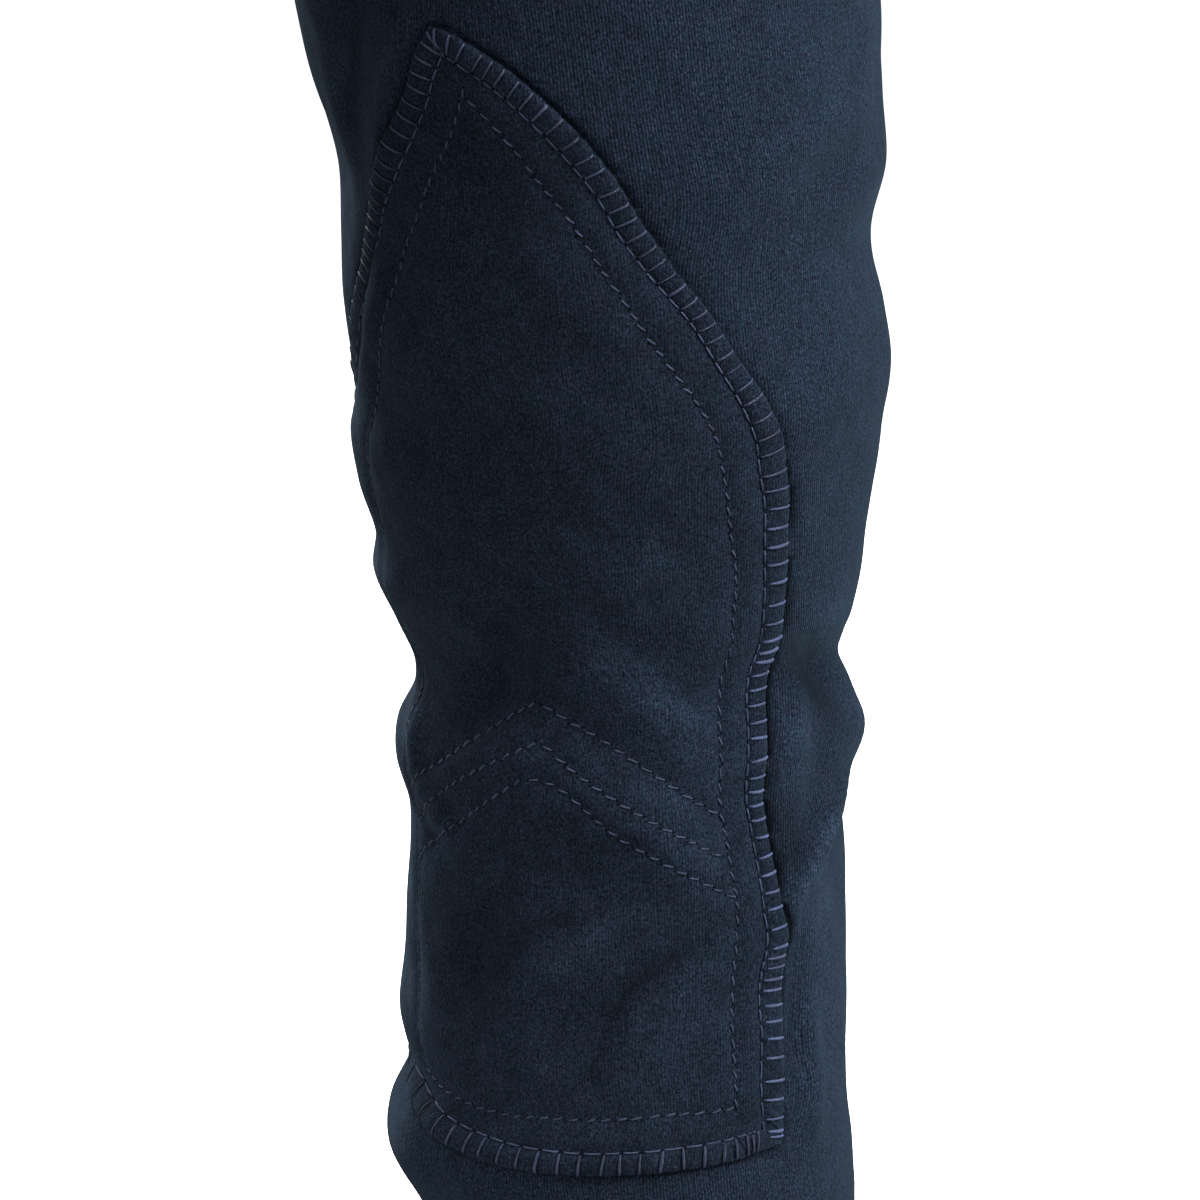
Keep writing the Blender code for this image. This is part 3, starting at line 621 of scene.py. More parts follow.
def round_scale(spots):
    """Millimetres round the leg for each degree of bearing."""
    inner, outer, depth, _ = from_table(LEG, spots[..., 1])
    angle = np.radians(spots[..., 0])
    return np.radians(np.hypot((inner + outer) / 2 * np.cos(angle), depth * np.sin(angle)))


# ---------------------------------------------------------------- lines on the cloth


def inset_corners(corners, width):
    """The closed outline's corners, moved in by a width measured on the cloth."""
    corners = np.asarray(corners, float)
    scale = round_scale(corners)
    before = corners - np.roll(corners, 1, axis=0)
    after = np.roll(corners, -1, axis=0) - corners
    before[:, 0] *= scale
    after[:, 0] *= scale
    before, after = unit(before), unit(after)
    inward = unit(np.stack([-before[:, 1] - after[:, 1], before[:, 0] + after[:, 0]], axis=-1))
    own = np.stack([-before[:, 1], before[:, 0]], axis=-1)
    move = inward * (width / (inward * own).sum(1))[:, None]
    move[:, 0] /= scale
    return corners + move


def dense_loop(corners, each):
    """A closed outline with so many points on each of its sides."""
    steps = np.arange(each)[:, None] / each
    nexts = np.roll(corners, -1, axis=0)
    return np.concatenate([a + (b - a) * steps for a, b in zip(corners, nexts, strict=True)])


def rounded(loop, reach):
    """The loop with its corners eased, each point over its own reach."""
    total = np.zeros_like(loop)
    weight = 0.0
    for step in np.linspace(-1.0, 1.0, 15):
        share = (1.0 - step * step) ** 2 + 0.02
        index = np.arange(len(loop)) + step * reach
        low = np.floor(index).astype(int)
        part = (index - low)[:, None]
        total += share * (loop[low % len(loop)] * (1 - part) + loop[(low + 1) % len(loop)] * part)
        weight += share
    return total / weight


def looped(line, at):
    """Values of a closed line of evenly numbered points at fractional numbers."""
    low = np.floor(at).astype(int)
    part = (at - low)[..., None]
    return line[low % len(line)] * (1 - part) + line[(low + 1) % len(line)] * part


class PatchEdge:
    """The knee patch's edge: matching spots of its cut edge and of the needle row inside it, so
    many between one bar of blanket stitch and the next."""

    def __init__(self, pitch, steps):
        each, samples = 60, 2400
        cut = np.array(PATCH_OUTLINE)
        unit_inset = inset_corners(cut, 1.0) - cut
        outline, inset = dense_loop(cut, each), dense_loop(unit_inset, each)
        lengths = np.hypot(*((np.roll(outline, -1, axis=0) - outline).T * [[CUT_SCALE], [1.0]]))
        run = np.concatenate([[0.0], np.cumsum(lengths)])
        total = run[-1]
        spacing = total / samples
        sharp = run[np.multiply(SHARP_CORNERS, each)]
        gap = np.abs((run[:-1, None] - sharp + total / 2) % total - total / 2).min(1)
        evenly = np.linspace(0, total, samples, endpoint=False)
        plain, inset = (
            np.stack([np.interp(evenly, run, np.append(line[:, k], line[0, k])) for k in (0, 1)],
                     axis=-1) for line in (outline, inset))
        depth = edge_depth(plain)
        inside = plain + inset * depth[:, None]
        # How far the line is eased: 1.2 mm by a sharp corner, and up to 9 mm away from one.
        reach = np.clip(np.interp(evenly, run[:-1], gap) * 0.7, 1.2, 9.0) / spacing
        outline, inside = (edge_drawn(rounded(line, reach)) for line in (plain, inside))

        number = np.arange(samples, dtype=float)
        corner = run[::each] / total * samples
        outer, foot, inner = (slice(int(corner[i]) + 1, int(corner[j])) for i, j in PATCH_SIDES)
        even = np.arange(INNER_BARS_FROM, INNER_BARS_TO, -pitch)
        places = np.concatenate([
            np.interp(OUTER_BARS, plain[outer, 1], number[outer]),
            np.interp(np.negative(FOOT_BARS), -plain[foot, 0], number[foot]),
            np.interp(np.negative(np.concatenate([even, INNER_BARS])), -plain[inner, 1],
                      number[inner])])
        self.bars = len(places)
        self.count = self.bars * steps
        at = np.interp(np.arange(self.count) / steps, np.arange(self.bars + 1),
                       np.append(places, places[0] + samples))
        self.outer, self.inner = looped(outline, at), looped(inside, at)

        # Each bar runs square to its own side, or level on the outer side.
        self.tops = looped(outline, places)
        scale = round_scale(self.tops)
        reach = BAR_REACH / spacing
        along = looped(outline, places + reach) - looped(outline, places - reach)
        along[:, 0] *= scale
        along = unit(along)
        drop = self.tops[:, 1]
        self.level = (ease(drop, LEVEL_FROM, LEVEL_FULL)
                      * (places > number[outer][0]) * (places < number[outer][-1]))
        square = np.stack([-along[:, 1], along[:, 0]], axis=-1)
        fall = LEVEL_FALL + (LEVEL_FALL_FOOT - LEVEL_FALL) * ease(drop, 612.0, 655.0)
        straight = np.stack([-np.ones(self.bars), fall], axis=-1)
        inward = unit(square + (straight - square) * self.level[:, None])
        inward[:, 0] /= scale
        self.feet = self.tops + inward * np.interp(places, number, depth)[:, None]

    def spots(self, index, share):
        """Spots at numbers along the edge, 0 on the cut edge and 1 on the needle row."""
        outer, inner = looped(self.outer, index), looped(self.inner, index)
        return outer + (inner - outer) * np.asarray(share)[..., None]


def low_side(spots):
    """How flat the patch's edge is sewn down on the leg's inner side: 1 is not at all."""
    turn, drop = -spots[..., 0], spots[..., 1]
    above = ease(turn, 44.0, 64.0) * ease(drop, 398.0, 440.0) * ease(-drop, -640.0, -600.0)
    below = ease(turn, 70.0, 80.0) * ease(drop, 600.0, 640.0)
    return 1.0 - 0.62 * np.maximum(above, below)


def edge_depth(spots):
    """Depth of the blanket stitch at spots of the patch's cut edge."""
    depth = from_table(EDGE_DEPTH, spots[..., 1])[0]
    last = EDGE_DEPTH[-1][1]
    return last + (depth - last) * ease(spots[..., 0], -30.0, -22.0)


def line_spots(corners, spacing=0.5):
    """Spots along a smooth line through the corners, closely spaced."""
    corners = np.asarray(corners, float)
    steps = np.hypot(np.diff(corners[:, 0]) * CUT_SCALE, np.diff(corners[:, 1]))
    knots = np.concatenate([[0.0], np.cumsum(steps)])
    at = np.linspace(0, knots[-1], max(int(knots[-1] / spacing), 2))
    return np.stack([smooth_through(knots, corners[:, k], at) for k in (0, 1)], axis=-1)


def nearest(samples, points):
    """For each point, the distance to the nearest sample, and which it is."""
    tree = KDTree(len(samples))
    for i, sample in enumerate(samples):
        tree.insert(sample, i)
    tree.balance()
    found = [tree.find(p) for p in points]
    return np.array([f[2] for f in found]), np.array([f[1] for f in found])


# ---------------------------------------------------------------- meshes


def flat_grid(columns, rows):
    """A flat unit of cloth, 0 to 1 across in x and 0 to 1 down in y."""
    bm = bmesh.new()
    made = bmesh.ops.create_grid(bm, x_segments=columns, y_segments=rows, size=0.5)
    bmesh.ops.translate(bm, verts=made["verts"], vec=(0.5, 0.5, 0.0))
    return bm


def mesh_of(bm, name):
    """A mesh with what the bmesh holds, which is freed."""
    mesh = bpy.data.meshes.new(name)
    bm.to_mesh(mesh)
    bm.free()
    return mesh


def stand(name, data):
    """An object of that name in the scene."""
    made = bpy.data.objects.new(name, data)
    bpy.context.scene.collection.objects.link(made)
    return made


def give_painted_shade(mesh, values):
    """Gives each vertex its painted shade, or painted highlight where negative."""
    layer = mesh.attributes.new("crevice", "FLOAT", "POINT")
    layer.data.foreach_set("value", values.astype(np.float32))


def coordinates(mesh):
    co = np.empty(len(mesh.vertices) * 3, np.float32)
    mesh.vertices.foreach_get("co", co)
    return co.reshape(-1, 3).astype(float)


def signed_volume(mesh):
    co = coordinates(mesh)
    mesh.calc_loop_triangles()
    corners = np.empty(len(mesh.loop_triangles) * 3, np.int32)
    mesh.loop_triangles.foreach_get("vertices", corners)
    a, b, c = co[corners].reshape(-1, 3, 3).transpose(1, 0, 2)
    return float((a * np.cross(b, c)).sum())


def finish_mesh(name, mesh, points, uv, leg, finish):
    """Places a mesh's points, in millimetres, gives it its cloth coordinates and adds it."""
    points = np.array(points, float)
    if leg == "right":
        points[:, 0] *= -1
    mesh.vertices.foreach_set("co", (points * MM).astype(np.float32).ravel())
    mesh.update()
    if signed_volume(mesh) < 0:
        mesh.flip_normals()
    if uv is not None:
        corner = np.empty(len(mesh.loops), np.int32)
        mesh.loops.foreach_get("vertex_index", corner)
        layer = mesh.uv_layers.new(name="cloth")
        layer.data.foreach_set("uv", (uv[corner] * MM).astype(np.float32).ravel())
    mesh.shade_smooth()
    mesh.materials.append(finish)
    return stand(name, mesh)


def cloth_wall(name, bm, place, leg, finish):
    """A closed wall of cloth: the flat piece is given thickness, then moved onto its surface.

    place takes how far across and down each vertex is, and which of them are on the inside, and
    gives their points, their cloth coordinates and, where it varies, their painted shade."""
    outer = list(bm.verts)
    bmesh.ops.solidify(bm, geom=bm.verts[:] + bm.edges[:] + bm.faces[:], thickness=1.0)
    level = max(outer, key=lambda v: abs(v.co.z)).co.z
    mesh = mesh_of(bm, name)
    co = coordinates(mesh)
    points, uv, *dark = place(co[:, 0], co[:, 1], np.abs(co[:, 2] - level) > 0.5)
    for values in dark:
        give_painted_shade(mesh, values)
    return finish_mesh(name, mesh, points, uv, leg, finish)


def thread_template(sides, rings):
    """A stitch of thread along z from 0 to 1, closed at its ends."""
    bm = bmesh.new()
    bmesh.ops.create_cone(bm, cap_ends=True, segments=sides, radius1=1.0, radius2=1.0, depth=1.0)
    bmesh.ops.translate(bm, verts=bm.verts, vec=(0.0, 0.0, 0.5))
    long_edges = [e for e in bm.edges if abs(e.verts[0].co.z - e.verts[1].co.z) > 0.5]
    bmesh.ops.subdivide_edges(bm, edges=long_edges, cuts=rings - 2)
    mesh = mesh_of(bm, "thread_template")
    faces = [list(p.vertices) for p in mesh.polygons]
    co = coordinates(mesh)
    bpy.data.meshes.remove(mesh)
    return co, faces


def sew(name, runs, leg, finish, sides=6):
    """One mesh of many stitches. Each run gives the stitches' centre lines and upward directions
    as arrays of (stitch, ring, 3), their half widths as (stitch, ring), in millimetres, and, where
    they differ, how much darker each stitch is painted."""
    verts, faces, uvs, shades = [], [], [], []
    count = 0
    for centres, ups, radii, *stitch_shade in runs:
        rings = centres.shape[1]
        template, cells = thread_template(sides, rings)
        ring = np.rint(template[:, 2] * (rings - 1)).astype(int)
        along = unit(np.gradient(centres, axis=1))
        side = unit(np.cross(ups, along))
        up = np.cross(along, side)
        length = run_lengths(centres)
        turn = np.arctan2(template[:, 0], template[:, 1])
        shades.append(np.repeat(stitch_shade[0] if stitch_shade else np.zeros(len(centres)), len(template)))
        for k in range(len(centres)):
            wide = radii[k, ring][:, None]
            verts.append(centres[k, ring] + side[k, ring] * template[:, 0:1] * wide
                         + up[k, ring] * template[:, 1:2] * wide * THREAD_FLATTENED)
            uvs.append(np.stack([length[k, ring], turn / math.tau], axis=-1))
            faces += [[v + count for v in cell] for cell in cells]
            count += len(template)
    mesh = bpy.data.meshes.new(name)
    mesh.from_pydata(np.zeros((count, 3)), [], faces)
    give_painted_shade(mesh, np.concatenate(shades))
    return finish_mesh(name, mesh, np.concatenate(verts), np.concatenate(uvs), leg, finish)


def stitch_run(place, spots, pitch, share, width, seed, rise=0.28, rings=6, skewed=0.5):
    """Stitches along a line of spots, each an arch that goes down into the cloth at both ends.

    place gives points and normals of the cloth at spots."""
    points, _ = place(spots)
    run = run_lengths(points[None])[0]
    count = max(int(round(run[-1] / pitch)), 1)
    pitch = run[-1] / count
    draw = np.random.default_rng(seed)
    start = (np.arange(count) + 0.5 * (1 - share)) * pitch + draw.normal(0, 0.05 * pitch, count)
    long = share * pitch * (1 + draw.normal(0, 0.07, count))
    t = np.linspace(0, 1, rings)
    at = start[:, None] + long[:, None] * t
    found = np.stack([np.interp(at, run, spots[:, k]) for k in (0, 1)], axis=-1)
    centre, normal = place(found)
    # Each stitch lies a little askew of its line, as a lockstitch does.
    along = unit(np.gradient(centre, axis=1))
    aside = np.cross(normal, along)
    skew = (t - 0.5) * width * (skewed + draw.normal(0, 0.3, count))[:, None]
    arch = np.sin(math.pi * t) ** 0.6
    sunk = 0.45 * width
    lift = -sunk + (rise + sunk) * arch * (1 + draw.normal(0, 0.12, count))[:, None]
    centre = centre + aside * skew[..., None] + normal * lift[..., None]
    radii = np.full((count, rings), width / 2) * (0.62 + 0.38 * arch)
    return centre, normal, radii * (1 + draw.normal(0, 0.06, count))[:, None]


def seam_stitches(place, line, sewing, seed):
    """Stitches of an ordinary seam along a line of spots."""
    return stitch_run(place, line, sewing.hem_pitch / MM, 0.7, sewing.thread_width / MM * 0.85,
                      seed, rise=0.18)


def needle_hole_shadows(run, width):
    """Painted shadow: dark marks where stitches go down into the cloth, at both ends of each, for
    the shade in the needle holes.
    """
    centres, ups, _ = run
    ups = np.broadcast_to(ups, centres.shape)
    along = unit(centres[:, -1] - centres[:, 0])
    reach, taper = np.array([(-0.55, 0.6), (-0.10, 1.0), (0.35, 0.9), (0.75, 0.35)]).T
    sunk = 0.16 * width
    made = []
    for end, outwards in ((0, -1.0), (-1, 1.0)):
        out = along * outwards
        spots = centres[:, end, None] + out[:, None] * (reach * width)[:, None]
        up = np.repeat(ups[:, end, None], len(reach), axis=1)
        radii = np.full(spots.shape[:2], width / 2) * taper
        made.append((spots + up * sunk, up, radii))
    return made


# ---------------------------------------------------------------- finishes


def feed(tree, node, values):
    """Sets a node's inputs to values, or wires them to other nodes' outputs."""
    for key, value in values.items():
        if isinstance(value, bpy.types.NodeSocket):
            tree.links.new(value, node.inputs[key])
        else:
            node.inputs[key].default_value = value


def add_node(tree, kind, values=(), **settings):
    """A shader node with its settings and inputs."""
    node = tree.nodes.new(f"ShaderNode{kind}")
    for key, value in settings.items():
        setattr(node, key, value)
    feed(tree, node, dict(values))
    return node


def maths(tree, operation, *values):
    return add_node(tree, "Math", enumerate(values), operation=operation).outputs[0]


def noise(tree, vector, scale, detail=2.0, rough=0.5):
    return add_node(tree, "TexNoise", {"Vector": vector, "Scale": scale, "Detail": detail,
                                       "Roughness": rough}).outputs["Fac"]


def spread(tree, value, low, high, start=0.3, end=0.7):
    """A noise's middle range, drawn out from low to high."""
    return add_node(tree, "MapRange", {"Value": value, "From Min": start, "From Max": end,
                                       "To Min": low, "To Max": high}).outputs[0]


def tinted(tree, colour, factor, warmth=None):
    """The colour made lighter or darker, and cooler or warmer, by values that vary over the
    surface."""
    shaded = add_node(tree, "VectorMath", {0: colour[:3], "Scale": factor}, operation="SCALE")
    if warmth is None:
        return shaded.outputs[0]
    shift = add_node(tree, "CombineXYZ", {
        k: maths(tree, "MULTIPLY_ADD", warmth, amount, 1.0) for k, amount in enumerate(WARMTH)})
    return add_node(tree, "VectorMath", {0: shaded.outputs[0], 1: shift.outputs[0]},
                    operation="MULTIPLY").outputs[0]


def fibres(tree, vector, turn, across, along):
    """Short loose fibres that lie in one direction of the cloth, turned by so many degrees."""
    lie = add_node(tree, "Mapping", {
        "Location": (0.013 * turn, 0.007 * turn, 0.0), "Rotation": (0.0, 0.0, math.radians(turn)),
        "Scale": (along, across, 1.0), "Vector": vector}, vector_type="TEXTURE")
    return spread(tree, noise(tree, lie.outputs[0], 1.0, 1.0, 0.4), 0.0, 1.0, 0.60, 0.78)


def new_finish(name):
    made = bpy.data.materials.new(name)
    made.use_nodes = True
    return made, made.node_tree, made.node_tree.nodes["Principled BSDF"]


def bumped(tree, layers):
    """Bump layers of (height, strength, distance in metres), one over the other."""
    last = {}
    for height, strength, distance in layers:
        node = add_node(tree, "Bump", {"Height": height, "Strength": strength,
                                       "Distance": distance, **last})
        last = {"Normal": node.outputs["Normal"]}
    return last["Normal"]


def object_place(tree):
    return add_node(tree, "TexCoord").outputs["Object"]


def open_share(tree):
    """How light a point is, from its attribute of painted shade."""
    dark = add_node(tree, "Attribute", attribute_name="crevice")
    return maths(tree, "SUBTRACT", 1.0, dark.outputs["Fac"])


def cloth_finish(name, colour, rib_pitch, ribs, grain, nap, fuzz, lint):
    """Ribbed knit: ribs, loops and loose fibres follow the cloth's own coordinates, and the nap
    and the dye's unevenness the piece."""
    made, tree, shader = new_finish(name)
    own = add_node(tree, "UVMap", uv_map="cloth").outputs[0]
    place = object_place(tree)
    # At a scale of 1 the wave has a band every tau / 20 metres.
    wave = add_node(tree, "TexWave", {
        "Vector": own, "Scale": math.tau / 20.0 / rib_pitch, "Distortion": 1.4, "Detail": 1.0,
        "Detail Scale": 0.3}, wave_type="BANDS", bands_direction="X", wave_profile="SIN")

    def along_ribs(over, down, *looks):
        stretch = add_node(tree, "Mapping", {
            "Scale": (over / rib_pitch, down / rib_pitch, 1.0), "Vector": own})
        return noise(tree, stretch.outputs[0], *looks)

    loops = along_ribs(1.0, 0.8, 1.15, 2.0, 0.7)
    wales = along_ribs(0.9, 0.10, 1.0, 1.0, 0.5)
    hairs = noise(tree, place, 1500.0, 2.0, 0.7)
    mottle = noise(tree, place, 150.0, 3.0, 0.6)
    clouds = noise(tree, place, 26.0, 2.0, 0.5)
    hue = noise(tree, place, 420.0, 2.0, 0.6)
    specks = add_node(tree, "TexVoronoi", {"Scale": 70.0, "Vector": place})
    dot = maths(tree, "LESS_THAN", specks.outputs["Distance"], lint)
    # Ribs show most where the nap is worn off.
    factor = maths(tree, "MULTIPLY_ADD", wave.outputs["Fac"], ribs, 1.0 - ribs / 2)
    for value, share in ((loops, grain), (hairs, 0.62), (mottle, nap), (clouds, nap / 2),
                         (wales, ribs / 3)):
        factor = maths(tree, "MULTIPLY", factor, spread(tree, value, 1.0 - share, 1.0 + share))
    strands = [fibres(tree, own, turn, 0.00036, 0.0021) for turn in (20.0, 78.0, 141.0)]
    loose = maths(tree, "MAXIMUM", maths(tree, "MAXIMUM", *strands[:2]), strands[2])
    factor = maths(tree, "MULTIPLY_ADD", loose, fuzz, factor)
    factor = maths(tree, "MULTIPLY_ADD", dot, 2.5, factor)
    # Each vertex's painted shade darkens the cloth, and its painted highlight lightens it.
    factor = maths(tree, "MAXIMUM", maths(tree, "MULTIPLY", factor, open_share(tree)), 0.03)
    feed(tree, shader, {
        "Base Color": tinted(tree, colour, factor, spread(tree, hue, -1.0, 1.0)),
        "Roughness": 0.95, "Specular IOR Level": 0.04, "Sheen Weight": 0.10,
        "Sheen Roughness": 0.45, "Sheen Tint": (0.45, 0.72, 1.0, 1.0),
        "Normal": bumped(tree, [(wave.outputs["Fac"], 0.6 * ribs, 0.00030),
                                (loops, 0.75, 0.00030), (mottle, 0.30, 0.0010)])})
    return made


def thread_finish(name, colour):
    made, tree, shader = new_finish(name)
    own = add_node(tree, "UVMap", uv_map="cloth").outputs[0]
    parts = add_node(tree, "SeparateXYZ", {0: own})
    # The twist of the plies: along the thread in metres, and round it in turns of a thousandth.
    along = maths(tree, "DIVIDE", parts.outputs["X"], 0.00055)
    around = maths(tree, "MULTIPLY", parts.outputs["Y"], 2000.0)
    phase = maths(tree, "MULTIPLY", maths(tree, "ADD", along, around), math.tau)
    twist = maths(tree, "MULTIPLY_ADD", maths(tree, "SINE", phase), 0.5, 0.5)
    place = object_place(tree)
    # Painted light and shade of the twist: the plies are painted lighter on their crowns and darker
    # between them.
    factor = maths(tree, "MULTIPLY_ADD", twist, 1.5, 0.26)
    for scale, detail, rough, low, high in ((1400.0, 2.0, 0.6, 0.75, 1.25),
                                            (110.0, 1.0, 0.5, 0.7, 1.3)):
        uneven = spread(tree, noise(tree, place, scale, detail, rough), low, high)
        factor = maths(tree, "MULTIPLY", factor, uneven)
    # Each stitch's painted light and shade darken or lighten the thread.
    factor = maths(tree, "MULTIPLY", factor, open_share(tree))
    feed(tree, shader, {"Base Color": tinted(tree, colour, factor), "Roughness": 0.37,
                        "Specular IOR Level": 0.46,
                        "Normal": bumped(tree, [(twist, 0.9, 0.00012)])})
    return made


def button_finish(name, colour):
    made, tree, shader = new_finish(name)
    place = object_place(tree)
    swirl = noise(tree, place, 260.0, 3.0, 0.6)
    scuffs = noise(tree, place, 1800.0, 2.0, 0.6)
    feed(tree, shader, {"Base Color": tinted(tree, colour, spread(tree, swirl, 0.8, 1.3)),
                        "Roughness": spread(tree, scuffs, 0.28, 0.42), "Specular IOR Level": 0.5,
                        "Normal": bumped(tree, [(scuffs, 0.15, 0.0001)])})
    return made


# Each cloth's colour and its darkening (the needle shadow's is a painted shadow), and how strong
# its ribs, grain, nap, fuzz and lint are.
CLOTH_LOOKS = {
    "ribbed_cloth": ("cloth_colour", 1.0, 0.62, 0.72, 0.10, 0.45, 0.020),
    "brushed_patch_cloth": ("patch_colour", 1.0, 0.34, 0.66, 0.22, 1.25, 0.022),
    "needle_shadow": ("patch_colour", 0.34, 0.1, 0.1, 0.1, 0.0, 0.0),
}
THREAD_SHARES = {"sewing_thread": 1.0, "seam_thread": 0.55}


def finish_for(context, key):
    """The finish of that name, made when it is first asked for."""
    known = bpy.data.materials.get(key)
    if known is not None:
        return known
    cloths = context.scene.breeches_cloth
    if key in CLOTH_LOOKS:
        dyed, share, *looks = CLOTH_LOOKS[key]
        colour = [c * share for c in getattr(cloths, dyed)]
        return cloth_finish(key, colour, cloths.rib_pitch, *looks)
    if key in THREAD_SHARES:
        return thread_finish(key, [c * THREAD_SHARES[key] for c in cloths.thread_colour])
    return button_finish(key, cloths.button_colour)


# ---------------------------------------------------------------- panels


def spaced(start, end, spacing):
    return np.linspace(start, end, max(int(math.ceil((end - start) / spacing)), 1) + 1)[1:]


def panel_drops(spacing, fine):
    """The drops of a panel's rows, close together where the cloth turns under the body, and
    closer round the knee patch."""
    curve = CURVE_TOP["front"]
    hips = np.linspace(BAND_HEIGHT + SEAM_GAP / 2, curve,
                       int((curve - BAND_HEIGHT) / spacing) + 1)
    under = curve + (CROTCH_DROP - curve) * np.sin(np.linspace(0, math.pi / 2, 24)[1:])
    fork = CROTCH_DROP + 26.0 * np.linspace(0, 1, 9)[1:] ** 2
    above, below = PATCH_DROPS
    legs = [spaced(fork[-1], above, spacing), spaced(above, below, fine),
            spaced(below, HEM_DROP, spacing)]
    return np.concatenate([[BAND_HEIGHT - TURNED_IN], hips, under, fork, *legs])


def seam_shares(columns):
    """Columns across a panel, closer together beside its seams."""
    t = np.linspace(0, 1, columns + 1)
    return t - 0.75 * np.sin(math.tau * t) / math.tau


def grid_normals(points):
    return unit(np.cross(np.gradient(points, axis=0), np.gradient(points, axis=1)))


def steadied(points, plain, normals, drops, part):
    """A panel's points and normals with those beside the centre seam taken from further out,
    because its columns lie too close together there for their slopes to be told."""
    order = slice(None) if part == "front" else slice(None, None, -1)
    points, plain, normals = points[:, order].copy(), plain[:, order], normals[:, order].copy()
    run = run_lengths(plain)
    for row in np.where(drops < CROTCH_DROP)[0]:
        first = int(np.argmax(run[row] > STEADY_REACH))
        share = plain[row, :first, :1] / plain[row, first, 0]
        turned = ease(abs(normals[row, first, 0]), 0.6, 0.95)
        scale = np.concatenate([share, np.ones((first, 2))], axis=1)
        points[row, :first] = plain[row, :first] + (points[row, first] - plain[row, first]) * scale
        scale[:, 0] += (1.0 - scale[:, 0]) * turned
        normals[row, :first] = unit(normals[row, first] * scale)
    return points[:, order], normals[:, order]


def seam_dip(points):
    """How the cloth turns in at its two sewn sides, drawn in unevenly by the stitches."""
    run = run_lengths(points)
    down = np.cumsum(np.linalg.norm(np.gradient(points, axis=0), axis=2), axis=0)
    dip = np.zeros(run.shape)
    for near in (run, run[:, -1:] - run):
        pull = 1.0 + 0.35 * np.sin(down / 3.4) + 0.25 * np.sin(down / 7.9 + 1.0)
        dip -= 1.15 * bell(near, 1.5) + 0.28 * pull * bell(near - 2.5, 4.0)
    return dip


def edge_gap(leg, points, edge):
    """How far points of the front lie outside the knee patch's cut edge, in millimetres, and
    which of the edge's spots is nearest; far-off points get a large gap."""
    cut, _ = on_leg(leg, edge.outer)
    inner, _ = on_leg(leg, edge.inner)
    inward = unit(inner - cut)
    gap, which = np.full(len(points), 99.0), np.zeros(len(points), int)
    low, high = cut.min(0) - 14.0, cut.max(0) + 14.0
    picked = np.where(((points > low) & (points < high)).all(1))[0]
    gap[picked], which[picked] = nearest(cut, points[picked])
    side = ((points - cut[which]) * inward[which]).sum(1)
    return np.where(side > 0, -gap, gap), which


def edge_pucker(gap, which, knee, foot):
    """How the panel sinks along the knee patch's edge and puckers beside it, widest beside the
    knee and least at the foot."""
    outside = gap > 0
    soft = bell(gap, 5.0) * outside
    groove = 0.95 * bell(gap - 0.5, 0.75) * (0.8 + 0.2 * np.sin(which * 0.031))
    groove = (groove + 0.7 * knee * bell(gap, 3.6) * outside) * (1.0 - 0.55 * foot)
    return (0.16 * soft * np.cos(math.tau * which / EDGE_STEPS) - groove
            + 0.24 * soft * np.sin(which * 0.021 + 1.3 * np.sin(which * 0.0049)))


def edge_shadow(gap, spots, knee, foot):
    """Painted shadow: how dark the panel is painted beside the knee patch's raised edge, which
    hides more of it where the leg turns away."""
    bearing, drop = spots.T
    turn = np.radians(np.clip(np.abs(bearing), 0.0, 48.0))
    hidden = knee * ease(bearing, 18.0, 34.0)
    far = 0.35 + (0.5 + 1.8 * hidden) * np.tan(turn)
    deep = (0.52 + 0.36 * hidden) * bell(gap - far, 0.62 + 0.33 * hidden)
    drawn = knee * (0.16 + 0.26 * bell(drop - 574.0, 36.0))
    return np.minimum(deep + drawn * bell(gap, 4.6), 0.92) * (1.0 - 0.5 * foot)


def between(table, row, col):
    """Values of a table at fractional rows and columns."""
    low_row = np.clip(np.floor(row).astype(int), 0, len(table) - 2)
    low_col = np.clip(np.floor(col).astype(int), 0, table.shape[1] - 2)
    down, over = (row - low_row), (col - low_col)
    if table.ndim == 3:
        down, over = down[:, None], over[:, None]
    upper, lower = (table[k, low_col] * (1 - over) + table[k, low_col + 1] * over
                    for k in (low_row, low_row + 1))
    return upper * (1 - down) + lower * down


# Of each panel: columns (None for the sidebar's number), the spacing of its rows, the same round
# the knee patch, and how often the mesh is cut beside the patch's edge.
PANEL_MESHES = {
    ("front", "left"): (None, 4.6, 2.0, 2),
    ("front", "right"): (84, 4.6, 3.0, 1),
    ("back", "left"): (64, 4.6, 3.4, 0),
    ("back", "right"): (64, 4.6, 3.4, 0),
}


